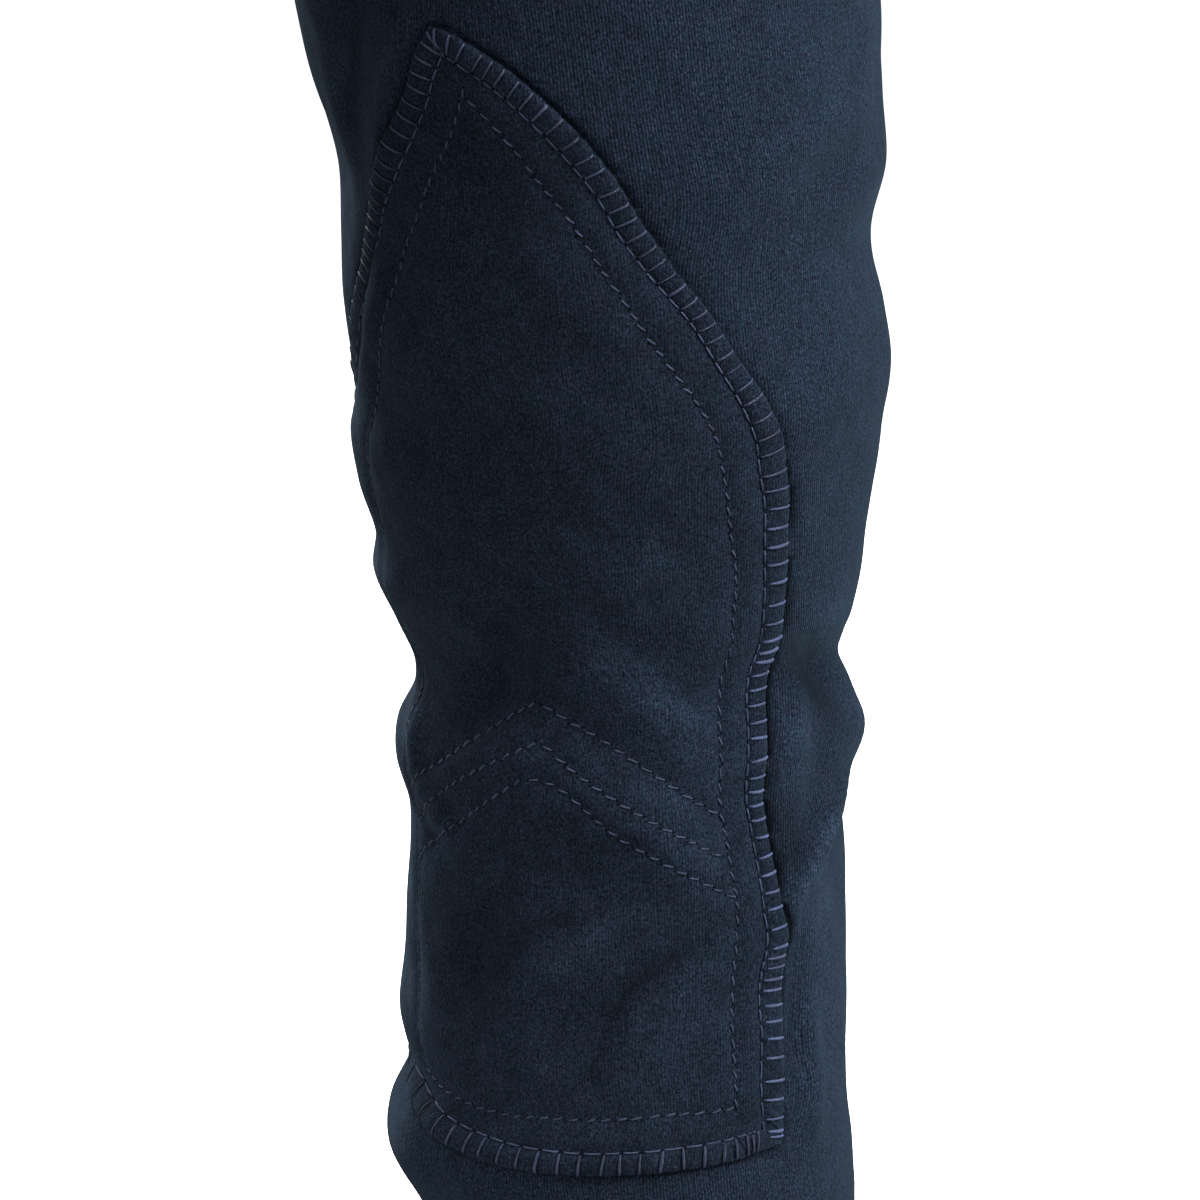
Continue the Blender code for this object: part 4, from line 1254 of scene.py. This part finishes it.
class BREECHES_OT_panels(Operator):
    """Make the two fronts and two backs"""

    bl_idname = "breeches.panels"
    bl_label = "Fronts and backs"

    def execute(self, context):
        finish = finish_for(context, "ribbed_cloth")
        wall = context.scene.breeches_cloth.wall / MM
        pitch = context.scene.breeches_sewing.blanket_pitch / MM
        for (part, leg), (columns, spacing, fine, cuts) in PANEL_MESHES.items():
            columns = columns or context.scene.breeches_stage.panel_columns
            drops, shares = panel_drops(spacing, fine), seam_shares(columns)
            rows = len(drops) - 1
            drop, share = np.meshgrid(drops, shares, indexing="ij")
            points = cloth(leg, part, drop, share)
            plain, bearing = plain_form(leg, part, drop, share)
            # Painted shade and highlight of the folds.
            shade = fold_shade(leg, drop, bearing)
            points, normals = steadied(points, plain, grid_normals(points), drops, part)
            # The top edge turns in under the waistband.
            lift = seam_dip(points) - 1.1 * bell(np.maximum(drop - BAND_HEIGHT, 0.0), 1.6)
            lift = lift - 0.9 * (drop < BAND_HEIGHT)
            run = run_lengths(plain)
            middle = np.full(len(drops), 0.5)
            bm = flat_grid(columns, rows)
            edge = None
            if part == "front":
                middle = leg_share(drops, np.zeros(len(drops)))
                edge = PatchEdge(pitch, EDGE_STEPS)
                gap, _ = edge_gap(leg, points.reshape(-1, 3), edge)
                gap = gap.reshape(points.shape[:2])
                close = {v for v in bm.verts
                         if abs(gap[round(v.co.y * rows), round(v.co.x * columns)]) < 4.2}
                picked = [e for e in bm.edges if close.issuperset(e.verts)]
                bmesh.ops.subdivide_edges(bm, edges=picked, cuts=cuts, use_grid_fill=True)
            zero = np.array([np.interp(m, shares, r) for m, r in zip(middle, run, strict=True)])
            across = run - zero[:, None]

            def place(x, y, inside):
                placed, outward, raised, over, tone, down = (
                    between(table, y * rows, x * columns)
                    for table in (points, normals, lift, across, shade, drop))
                # Painted shade: darker where the cloth turns in at its seams and under the
                # waistband, and, on the fronts, a painted shadow beside the knee patch's edge
                # instead; the folds' painted shade and highlight are laid over it.
                deep = 0.8 * bell(raised, 0.9) * (raised < -0.6)
                if edge is not None:
                    gaps, which = edge_gap(leg, placed, edge)
                    spots = edge.outer[which]
                    knee, foot = ease(spots[:, 1], 470.0, 505.0), ease(spots[:, 1], 660.0, 676.0)
                    raised = raised + edge_pucker(gaps, which, knee, foot)
                    over = over + 0.6 * bell(gaps, 7.0) * (gaps > 0)
                    deep = edge_shadow(gaps, spots, knee, foot)
                deep = deep + tone * (1.0 - deep)
                placed = placed + outward * (raised - wall * inside)[:, None]
                placed[:, 0] = np.maximum(placed[:, 0], 0.0)
                return placed, np.stack([over, -down], axis=-1), deep

            made = cloth_wall(f"{part}_panel_{leg}", bm, place, leg, finish)
            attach(made, "root")
            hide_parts(f"{part}_{leg}")
        return {"FINISHED"}


# ---------------------------------------------------------------- knee patches

# The patch's edge, from its cut edge to the needle row: (share of the way in, lift).
WELT_SECTION = (
    (0.07, 0.05), (0.015, 0.5), (-0.01, 0.95), (0.015, 1.4), (0.1, 1.76), (0.26, 1.98),
    (0.46, 2.04), (0.66, 1.94), (0.82, 1.66), (0.93, 1.26), (1.03, 0.86), (1.09, 0.4), (0.55, 0.22),
)
FIELD_LIFT = 1.55
FIELD_INSET = 4.8


def field_lift(leg, points, edge, lines):
    """Height of the patch's field over the panel: low by the needle row and outside it, and
    drawn in along the topstitching."""
    rail, _ = on_leg(leg, edge.inner)
    cut, _ = on_leg(leg, edge.outer)
    gap, which = nearest(rail, points)
    outward = unit(cut - rail)[which]
    gap = np.where(((points - rail[which]) * outward).sum(1) > 0, 0.0, gap)
    lift = FIELD_LIFT + LAY_GAP - 0.68 * bell(gap, 1.3) - 0.25 * bell(gap, 4.5)
    samples, _ = on_leg(leg, np.concatenate(lines))
    gap, which = nearest(samples, points)
    lift -= 0.55 * bell(gap, 1.3) + 0.20 * bell(gap, 4.0)
    ripple = np.sin(which * 0.73) * bell(gap - 2.2, 2.0) * 0.09
    return lift + ripple


def patch_lines():
    return [line_spots(line) for line in (INNER_LINE, OUTER_LINE, FOOT_LINE, *CHEVRONS)]


class BREECHES_OT_knee_patches(Operator):
    """Make the two knee patches, each a field of cloth inside a stitched edge"""

    bl_idname = "breeches.knee_patches"
    bl_label = "Knee patches"

    def execute(self, context):
        finish = finish_for(context, "brushed_patch_cloth")
        pitch = context.scene.breeches_sewing.blanket_pitch / MM
        wall = context.scene.breeches_cloth.patch_wall / MM
        for leg, spacing, steps in (("left", 1.5, EDGE_STEPS), ("right", 2.4, 6)):
            edge = PatchEdge(pitch, steps)
            field = self.field(leg, edge, spacing, wall, finish)
            rim = self.rim(leg, edge, steps, finish)
            made = join_pieces(f"knee_patch_cloth_{leg}", [field, rim])
            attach(made, "root")
            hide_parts(f"knee_patch_{leg}")
        return {"FINISHED"}

    def field(self, leg, edge, spacing, wall, finish):
        """The cloth inside the stitched edge, cut to its outline while it is flat."""
        lines = patch_lines()
        low, high = np.array([-92.0, 362.0]), np.array([48.0, 686.0])
        size = (high - low) * [CUT_SCALE, 1.0]
        bm = flat_grid(*(int(s / spacing) for s in size))
        bmesh.ops.scale(bm, vec=(size[0], size[1], 1.0), verts=bm.verts)
        bmesh.ops.translate(bm, vec=(low[0] * CUT_SCALE, low[1], 0.0), verts=bm.verts)
        corners = inset_corners(PATCH_OUTLINE, FIELD_INSET) * [CUT_SCALE, 1.0]
        for start, end in zip(corners, np.roll(corners, -1, axis=0), strict=True):
            bmesh.ops.bisect_plane(
                bm, geom=bm.verts[:] + bm.edges[:] + bm.faces[:], dist=0.25,
                plane_co=(*start, 0.0), plane_no=(end[1] - start[1], start[0] - end[0], 0.0),
                clear_outer=True)

        def place(x, y, inside):
            spots = edge_drawn(np.stack([x / CUT_SCALE, y], axis=-1))
            points, normals = on_leg(leg, spots)
            lift = field_lift(leg, points, edge, lines)
            lift = np.where(inside, np.minimum(lift - wall, LAY_GAP), lift)
            uv = np.stack([x / CUT_SCALE * round_scale(spots), -y], axis=-1)
            # Painted shade and highlight of the folds.
            shade = fold_shade(leg, spots[:, 1], spots[:, 0] + SECTION_TURN)
            return points + normals * lift[:, None], uv, shade

        return cloth_wall(f"patch_{leg}_field", bm, place, leg, finish)

    def rim(self, leg, edge, steps, finish):
        """The raised edge: a grid closed along its length and round its section."""
        section = np.array(WELT_SECTION)
        sides, count = len(section), edge.count
        bm = flat_grid(count, sides)
        for vert in bm.verts:
            x, y = vert.co[:2]
            vert.co = (round(x * count) % count, round(y * sides) % sides, 0.0)
        bmesh.ops.remove_doubles(bm, verts=bm.verts, dist=0.01)
        mesh = mesh_of(bm, f"patch_{leg}_edge")
        index, k, _ = np.rint(coordinates(mesh)).astype(int).T
        share, lift = section[k].T
        # The bars draw the edge down and in, and it wanders a little between them.
        bar = ease(np.cos(math.tau * index / steps), 0.0, 1.0)
        wander = 0.022 * np.sin(index * 0.13) + 0.02 * np.sin(index * 0.047 + 1.0)
        lift = lift * (1.0 - 0.13 * bar * (lift > 1.2))
        share = share + (0.028 * bar - 0.012) * (k < 5) + 0.5 * wander * (k < 6)
        spots = edge.spots(index, share)
        points, normals = on_leg(leg, spots)
        uv = np.stack([spots[:, 0] * round_scale(spots), -spots[:, 1]], axis=-1)
        raised = points + normals * (lift * low_side(spots))[:, None]
        return finish_mesh(mesh.name, mesh, raised, uv, leg, finish)


def join_pieces(name, pieces):
    """Joins pieces of the same finish into one."""
    bm = bmesh.new()
    for piece in pieces:
        bm.from_mesh(piece.data)
    mesh = mesh_of(bm, name)
    mesh.shade_smooth()
    mesh.materials.append(pieces[0].data.materials[0])
    for piece in pieces:
        data = piece.data
        bpy.data.objects.remove(piece)
        bpy.data.meshes.remove(data)
    return stand(name, mesh)


# ---------------------------------------------------------------- stitches


def blanket_bars(leg, edge, width, seed):
    """Bars from the cut edge in to the needle row, thick where they turn over the edge."""
    draw = np.random.default_rng(seed)
    share, height, taper = np.array(BAR_SECTION).T
    count = edge.bars
    shares = share + draw.normal(0, 0.012, count)[:, None] * (1 - share)
    shares = shares * (1.0 - 0.09 * edge.level)[:, None]
    tops = edge.tops + draw.normal(0, 0.10, (count, 2)) / [CUT_SCALE, 1.0]
    feet = edge.feet + draw.normal(0, 0.22, (count, 2)) / [CUT_SCALE, 1.0]
    spots = tops[:, None] + (feet - tops)[:, None] * shares[..., None]
    points, normals = on_leg(leg, spots)
    height = height * (1 + draw.normal(0, 0.02, count))[:, None] * low_side(spots)
    radii = width / 2 * taper * (1 + draw.normal(0, 0.13, count))[:, None]
    # Painted light and shade: bars lying level on the outer side, where the light falls, are
    # painted lightest, and those inside the knee, turned from it, darkest.
    sunk = ease(-edge.tops[:, 0], 40.0, 60.0) * ease(edge.tops[:, 1], 395.0, 425.0)
    stitch_shade = 0.34 - 0.72 * edge.level + 0.38 * sunk
    radii = radii * (0.82 + 0.20 * edge.level - 0.25 * sunk)[:, None]
    return points + normals * height[..., None], normals, radii, stitch_shade


def rail_dashes(leg, edge, width, seed):
    """Stitches along the needle row, from one bar's foot to the next."""
    draw = np.random.default_rng(seed)
    t = np.linspace(0, 1, 7)
    ends = np.roll(edge.feet, -1, axis=0)
    start = 0.05 + draw.normal(0, 0.02, edge.bars)
    at = start[:, None] + t * (0.90 + draw.normal(0, 0.02, edge.bars))[:, None]
    spots = edge.feet[:, None] + (ends - edge.feet)[:, None] * at[..., None]
    points, normals = on_leg(leg, spots)
    arch = np.sin(math.pi * t) ** 0.4
    lift = 0.95 + 0.52 * arch * (1 + draw.normal(0, 0.08, edge.bars))[:, None]
    lift = lift * low_side(spots)
    return (points + normals * lift[..., None], normals,
            np.full(at.shape, width / 2) * (0.62 + 0.38 * arch))


class BREECHES_OT_blanket_stitches(Operator):
    """Sew the patches' edges down with blanket stitch"""

    bl_idname = "breeches.blanket_stitches"
    bl_label = "Blanket stitches"

    def execute(self, context):
        sewing = context.scene.breeches_sewing
        edge = PatchEdge(sewing.blanket_pitch / MM, EDGE_STEPS)
        for seed, leg in enumerate(STANCE):
            bars = blanket_bars(leg, edge, sewing.blanket_width / MM, 11 + seed)
            rail = rail_dashes(leg, edge, sewing.thread_width / MM * 0.9, 21 + seed)
            made = sew(f"blanket_stitches_{leg}", [bars, rail], leg,
                       finish_for(context, "sewing_thread"))
            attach(made, "root")
            # Painted shadow in the needle holes at the ends of the needle row's stitches.
            marks = sew(f"blanket_needle_marks_{leg}", needle_hole_shadows(rail, 0.75), leg,
                        finish_for(context, "needle_shadow"))
            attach(marks, "root")
        return {"FINISHED"}


class BREECHES_OT_topstitching(Operator):
    """Sew the lines inside the patches' edges and the three chevrons under the knee"""

    bl_idname = "breeches.topstitching"
    bl_label = "Patch topstitching"

    def execute(self, context):
        sewing = context.scene.breeches_sewing
        edge = PatchEdge(sewing.blanket_pitch / MM, EDGE_STEPS)
        lines = patch_lines()
        for number, leg in enumerate(STANCE):

            def place(spots):
                points, normals = on_leg(leg, spots)
                lift = field_lift(leg, points.reshape(-1, 3), edge, lines)
                return points + normals * lift.reshape(points.shape[:-1])[..., None], normals

            runs = [stitch_run(place, line, sewing.topstitch_pitch / MM, 0.80,
                               sewing.thread_width / MM, 40 + 20 * number + i, skewed=1.5)
                    for i, line in enumerate(lines)]
            made = sew(f"topstitching_{leg}",
                       [(*run, np.full(len(run[0]), TOPSTITCH_DULL)) for run in runs], leg,
                       finish_for(context, "sewing_thread"))
            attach(made, "root")
            # Painted shadow in the needle holes at the ends of the topstitches.
            marks = [mark for run in runs for mark in needle_hole_shadows(run, 0.95)]
            made = sew(f"topstitch_needle_marks_{leg}", marks, leg,
                       finish_for(context, "needle_shadow"))
            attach(made, "root")
        return {"FINISHED"}


# ---------------------------------------------------------------- waist


def waist_points(bearing, drop, lift):
    """Points and normals round the waist, its overlapping end lifted over the other."""
    lap = BAND_LIFT * ease(bearing, LAP_FROM, LAP_FULL)
    x, y = body_points(drop, bearing)
    near_x, near_y = body_points(drop, bearing + 0.5)
    tangent = unit(np.stack([near_x - x, near_y - y], axis=-1))
    outward = np.stack([tangent[..., 1], -tangent[..., 0], np.zeros(x.shape)], axis=-1)
    out = (lift + lap)[..., None] * outward
    return np.stack([x, y, -drop], axis=-1) + out, outward


def band_lift(drop):
    """The band is a folded strip: round at its edges, drawn in along its two stitched rows."""
    lift = -0.7 * bell(drop, 1.6) - 0.7 * bell(BAND_HEIGHT - drop, 1.6)
    for row in BAND_ROWS:
        lift = lift - 0.30 * bell(drop - row, 1.2)
    return lift


class BREECHES_OT_waistband(Operator):
    """Make the waistband with its two rows of stitches"""

    bl_idname = "breeches.waistband"
    bl_label = "Waistband"

    def execute(self, context):
        wall = context.scene.breeches_cloth.wall / MM
        sewing = context.scene.breeches_sewing
        span = 360.0 + BAND_OVERLAP - BAND_UNDERLAP

        def place(x, y, inside):
            bearing, drop = BAND_UNDERLAP + span * x, BAND_HEIGHT * y
            swell = 0.16 * np.sin(bearing / 5.3) + 0.12 * np.sin(bearing / 2.1 + drop / 9.0)
            lift = band_lift(drop) + swell * np.sin(math.pi * y)
            points, _ = waist_points(bearing, drop, np.where(inside, -wall, lift))
            return points, np.stack([np.radians(bearing) * BAND_RADIUS, -drop], axis=-1)

        finish = finish_for(context, "ribbed_cloth")
        made = cloth_wall("waistband_cloth", flat_grid(300, 34), place, "left", finish)
        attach(made, "root")
        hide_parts("waistband")

        def surface(spots):
            bearing, drop = spots[..., 0], spots[..., 1]
            return waist_points(bearing, drop, band_lift(drop))

        # One row along each edge, and one down the end that lies outside.
        last = 360.0 + BAND_OVERLAP - 1.6
        ends = np.linspace(BAND_UNDERLAP + 2.0, last, 1200)
        lines = [np.stack([ends, np.full(1200, row)], axis=-1) for row in BAND_ROWS]
        lines.append(np.stack([np.full(80, last), np.linspace(*BAND_ROWS, 80)], axis=-1))
        runs = [seam_stitches(surface, line, sewing, seed)
                for line, seed in zip(lines, (70, 71, 73), strict=True)]
        made = sew("waistband_stitches", runs, "left", finish_for(context, "seam_thread"))
        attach(made, "root")
        return {"FINISHED"}


def fly_spots(across, down):
    length = FLY_LENGTH - FLY_CURVE * (1.0 - np.sqrt(np.clip(1.0 - across**2, 0.0, 1.0)))
    bearing = FLY_INNER + (FLY_OUTER - FLY_INNER) * across
    return np.stack([bearing, FLY_TOP + length * down], axis=-1)


class BREECHES_OT_fly(Operator):
    """Make the fly's flap with its curved rows of stitches"""

    bl_idname = "breeches.fly"
    bl_label = "Fly"

    def execute(self, context):
        wall = context.scene.breeches_cloth.patch_wall / MM
        sewing = context.scene.breeches_sewing

        def lifted(across, down):
            lift = np.full(np.shape(across), LAY_GAP + wall)
            for near in ((1.0 - across) * FLY_WIDTH, across * FLY_WIDTH, (1.0 - down) * 120.0,
                         down * 120.0):
                lift = lift - 0.55 * bell(near, 1.1)
            for row in FLY_STITCH_ROWS:
                lift = lift - 0.22 * bell((across - row) * FLY_WIDTH, 1.1) * (down < row)
            return lift

        def place(x, y, inside):
            bearing, drop = fly_spots(x, y).T
            points, _ = waist_points(bearing, drop, np.where(inside, LAY_GAP, lifted(x, y)))
            return points, np.stack([np.radians(bearing) * FLY_RADIUS, -drop], axis=-1)

        finish = finish_for(context, "ribbed_cloth")
        made = cloth_wall("fly_flap_cloth", flat_grid(36, 110), place, "left", finish)
        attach(made, "root")
        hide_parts("fly_flap")

        def surface(cells):
            spots = fly_spots(cells[..., 0], cells[..., 1])
            return waist_points(spots[..., 0], spots[..., 1], lifted(cells[..., 0], cells[..., 1]))

        runs = []
        curve = np.linspace(0, math.pi / 2, 160)
        for seed, row in enumerate(FLY_STITCH_ROWS):
            down = np.stack([np.full(260, row), np.linspace(0.02, FLY_TURN, 260)], axis=-1)
            round_end = np.stack([0.1 + (row - 0.1) * np.cos(curve),
                                  FLY_TURN + (0.30 - 0.1 * (1 - row)) * np.sin(curve)], axis=-1)
            runs.append(seam_stitches(surface, np.concatenate([down, round_end]), sewing,
                                      80 + seed))
        made = sew("fly_stitches", runs, "left", finish_for(context, "seam_thread"))
        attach(made, "root")
        return {"FINISHED"}


class BREECHES_OT_button(Operator):
    """Make the waistband's button and the thread that holds it"""

    bl_idname = "breeches.button"
    bl_label = "Button"

    def execute(self, context):
        profile = [
            (0.0, 0.0),
            *((BUTTON_RADIUS - inwards, up) for inwards, up in BUTTON_BACK),
            *((BUTTON_RADIUS - inwards, BUTTON_THICK - down) for inwards, down in BUTTON_FACE),
            (0.0, BUTTON_THICK - 1.0)]
        bm = bmesh.new()
        verts = [bm.verts.new((r, 0.0, h)) for r, h in profile]
        edges = [bm.edges.new(pair) for pair in zip(verts, verts[1:], strict=False)]
        bmesh.ops.spin(bm, geom=verts + edges, axis=(0.0, 0.0, 1.0), cent=(0.0, 0.0, 0.0),
                       angle=math.tau, steps=64, use_merge=True)
        bmesh.ops.remove_doubles(bm, verts=bm.verts, dist=1e-4)
        bmesh.ops.recalc_face_normals(bm, faces=bm.faces)
        mesh = mesh_of(bm, "waist_button")
        turn, spot = self.standing()
        made = finish_mesh("waist_button", mesh, coordinates(mesh) @ turn.T + spot, None, "left",
                           finish_for(context, "button_plastic"))
        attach(made, "root")
        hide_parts("button")
        # Two bars through each pair of holes, and the thread wound between button and band.
        width = context.scene.breeches_sewing.thread_width / MM
        t = np.linspace(0, 1, 7)
        arch = BUTTON_THICK - 1.15 + 0.55 * np.sin(math.pi * t) ** 0.5
        bars = [np.stack([np.full(7, x), -1.9 + 3.8 * t, arch], axis=-1)
                for x in (-1.5, -1.1, 1.1, 1.5)]
        shank = [np.stack([np.zeros(7), np.zeros(7), -1.6 + 2.2 * t], axis=-1)]
        runs = []
        for lines, up, radius in ((bars, (0.0, 0.0, 1.0), width / 2),
                                  (shank, (0.0, 1.0, 0.0), SHANK_RADIUS)):
            centres = np.array(lines) @ turn.T + spot
            runs.append((centres, np.broadcast_to(turn @ np.array(up), centres.shape),
                         np.full(centres.shape[:2], radius)))
        thread = sew("button_thread", runs, "left", finish_for(context, "seam_thread"))
        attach(thread, "root")
        return {"FINISHED"}

    def standing(self):
        """How the button is turned to lie on the band, and the middle of its back."""
        face, _ = waist_points(np.full(1, 360.0), np.full(1, BAND_HEIGHT / 2), np.zeros(1))
        lean = math.atan2(BAND_LEAN, BAND_HEIGHT)
        turn = np.array(Matrix.Rotation(math.pi / 2 - lean, 3, "X"))
        return turn, np.array([0.0, face[0, 1] - BUTTON_GAP, face[0, 2]])


class BREECHES_OT_hem_stitches(Operator):
    """Sew the two rows round each hem"""

    bl_idname = "breeches.hem_stitches"
    bl_label = "Hem stitches"

    def execute(self, context):
        sewing = context.scene.breeches_sewing
        for number, leg in enumerate(STANCE):
            runs = []
            for i, part in enumerate(("front", "back")):

                def place(spots):
                    share, drop = spots.reshape(-1, 2).T
                    points = cloth(leg, part, drop, share)
                    normals = normals_of(lambda d, a: cloth(leg, part, d, a), drop, share)
                    shape = (*spots.shape[:-1], 3)
                    return points.reshape(shape), normals.reshape(shape)

                for j, row in enumerate(HEM_ROWS):
                    line = np.stack([np.linspace(0.01, 0.99, 400), np.full(400, row)], axis=-1)
                    runs.append(seam_stitches(place, line, sewing, 90 + 10 * number + 2 * i + j))
            made = sew(f"hem_stitches_{leg}", runs, leg, finish_for(context, "seam_thread"))
            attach(made, "root")
        return {"FINISHED"}


# ---------------------------------------------------------------- cut sizes and stage


class BREECHES_OT_cut_sizes(Operator):
    """An empty step, which states no cut sizes"""

    bl_idname = "breeches.cut_sizes"
    bl_label = "Cut sizes"

    def execute(self, context):
        return {"FINISHED"}


# Where the camera looks, on the leg with the nearer knee, in metres.
LOOK_AT = Vector((0.1192, 0.0472, -0.536))
LIGHT_DISTANCE = 2.2
# Name, azimuth, elevation, width, and power as a share of the main light's.
LIGHTS = (
    ("main_light", 30.0, 40.0, 0.9, 1.0),
    ("top_light", 120.0, 70.0, 1.0, 0.2),
    ("back_light", 180.0, 40.0, 1.2, 1.5),
    ("side_light_left", -90.0, 12.0, 1.0, 0.48),
    ("side_light_right", 60.0, 12.0, 1.0, 0.38),
    ("back_light_left", -120.0, 10.0, 1.0, 0.12),
)


def from_bearing(azimuth, elevation):
    return Vector((math.sin(azimuth) * math.cos(elevation),
                   -math.cos(azimuth) * math.cos(elevation), math.sin(elevation)))


def soft_light(name, azimuth, elevation, size, power):
    data = bpy.data.lights.new(name, "AREA")
    data.shape, data.size, data.energy = "DISK", size, power
    lamp = stand(name, data)
    aim(lamp, from_bearing(math.radians(azimuth), math.radians(elevation)), LIGHT_DISTANCE)
    lamp.visible_camera = False


def aim(thing, away, distance):
    """Stands a camera or light that far away and turns it to where the camera looks."""
    thing.location = LOOK_AT + away * distance
    thing.rotation_euler = away.to_track_quat("Z", "Y").to_euler()


class BREECHES_OT_stage(Operator):
    """Set the floor, the light and the camera"""

    bl_idname = "breeches.stage"
    bl_label = "Floor, light and camera"

    def execute(self, context):
        scene, stage = context.scene, context.scene.breeches_stage
        bm = bmesh.new()
        bmesh.ops.create_grid(bm, x_segments=1, y_segments=1, size=60.0)
        floor = stand("floor", mesh_of(bm, "floor"))
        floor.location = (0.0, 0.0, CAD_BOX[0].z - 0.012)
        paint, tree, shader = new_finish("floor_paint")
        feed(tree, shader, {
            "Base Color": (0.9, 0.9, 0.9, 1.0), "Roughness": 0.9, "Specular IOR Level": 0.1,
            "Emission Color": (1.0, 1.0, 1.0, 1.0), "Emission Strength": 0.75})
        floor.data.materials.append(paint)
        floor.visible_diffuse = False
        floor.visible_glossy = False

        scene.world = bpy.data.worlds.new("studio")
        scene.world.use_nodes = True
        tree = scene.world.node_tree
        seen = add_node(tree, "LightPath").outputs["Is Camera Ray"]
        glow = maths(tree, "MULTIPLY_ADD", seen, 1.0 - stage.sky, stage.sky)
        feed(tree, tree.nodes["Background"], {"Color": (1.0, 1.0, 1.0, 1.0), "Strength": glow})
        for name, azimuth, elevation, size, share in LIGHTS:
            soft_light(name, azimuth, elevation, size, stage.key_power * share)

        data = bpy.data.cameras.new("camera")
        camera = stand("camera", data)
        aim(camera, from_bearing(stage.azimuth, stage.elevation), stage.distance)
        data.sensor_width = 36.0
        data.lens = data.sensor_width * stage.distance / stage.view_width
        data.clip_end = 200.0
        scene.camera = camera
        scene.view_settings.view_transform = "Standard"
        return {"FINISHED"}


class BREECHES_PT_sidebar(Panel):
    """The breeches' pieces, in the order in which they are made"""

    bl_label = "Riding breeches"
    bl_space_type = "VIEW_3D"
    bl_region_type = "UI"
    bl_category = "Breeches"

    def draw(self, context):
        for group in (context.scene.breeches_cloth, context.scene.breeches_sewing,
                      context.scene.breeches_stage):
            for key in group.bl_rna.properties.keys():
                if key not in ("rna_type", "name"):
                    self.layout.prop(group, key)
        for step in STEPS:
            self.layout.operator(step.bl_idname)


STEPS = (
    BREECHES_OT_stage,
    BREECHES_OT_panels,
    BREECHES_OT_knee_patches,
    BREECHES_OT_blanket_stitches,
    BREECHES_OT_topstitching,
    BREECHES_OT_waistband,
    BREECHES_OT_fly,
    BREECHES_OT_button,
    BREECHES_OT_hem_stitches,
    BREECHES_OT_cut_sizes,
)
CLASSES = (BreechesCloth, BreechesSewing, BreechesStage, *STEPS, BREECHES_PT_sidebar)


def register():
    for kind in CLASSES:
        bpy.utils.register_class(kind)
    bpy.types.Scene.breeches_cloth = PointerProperty(type=BreechesCloth)
    bpy.types.Scene.breeches_sewing = PointerProperty(type=BreechesSewing)
    bpy.types.Scene.breeches_stage = PointerProperty(type=BreechesStage)


def unregister():
    del bpy.types.Scene.breeches_cloth
    del bpy.types.Scene.breeches_sewing
    del bpy.types.Scene.breeches_stage
    for kind in reversed(CLASSES):
        bpy.utils.unregister_class(kind)


def main():
    register()
    for step in STEPS:
        group, action = step.bl_idname.split(".")
        getattr(getattr(bpy.ops, group), action)()


if __name__ == "__main__":
    main()
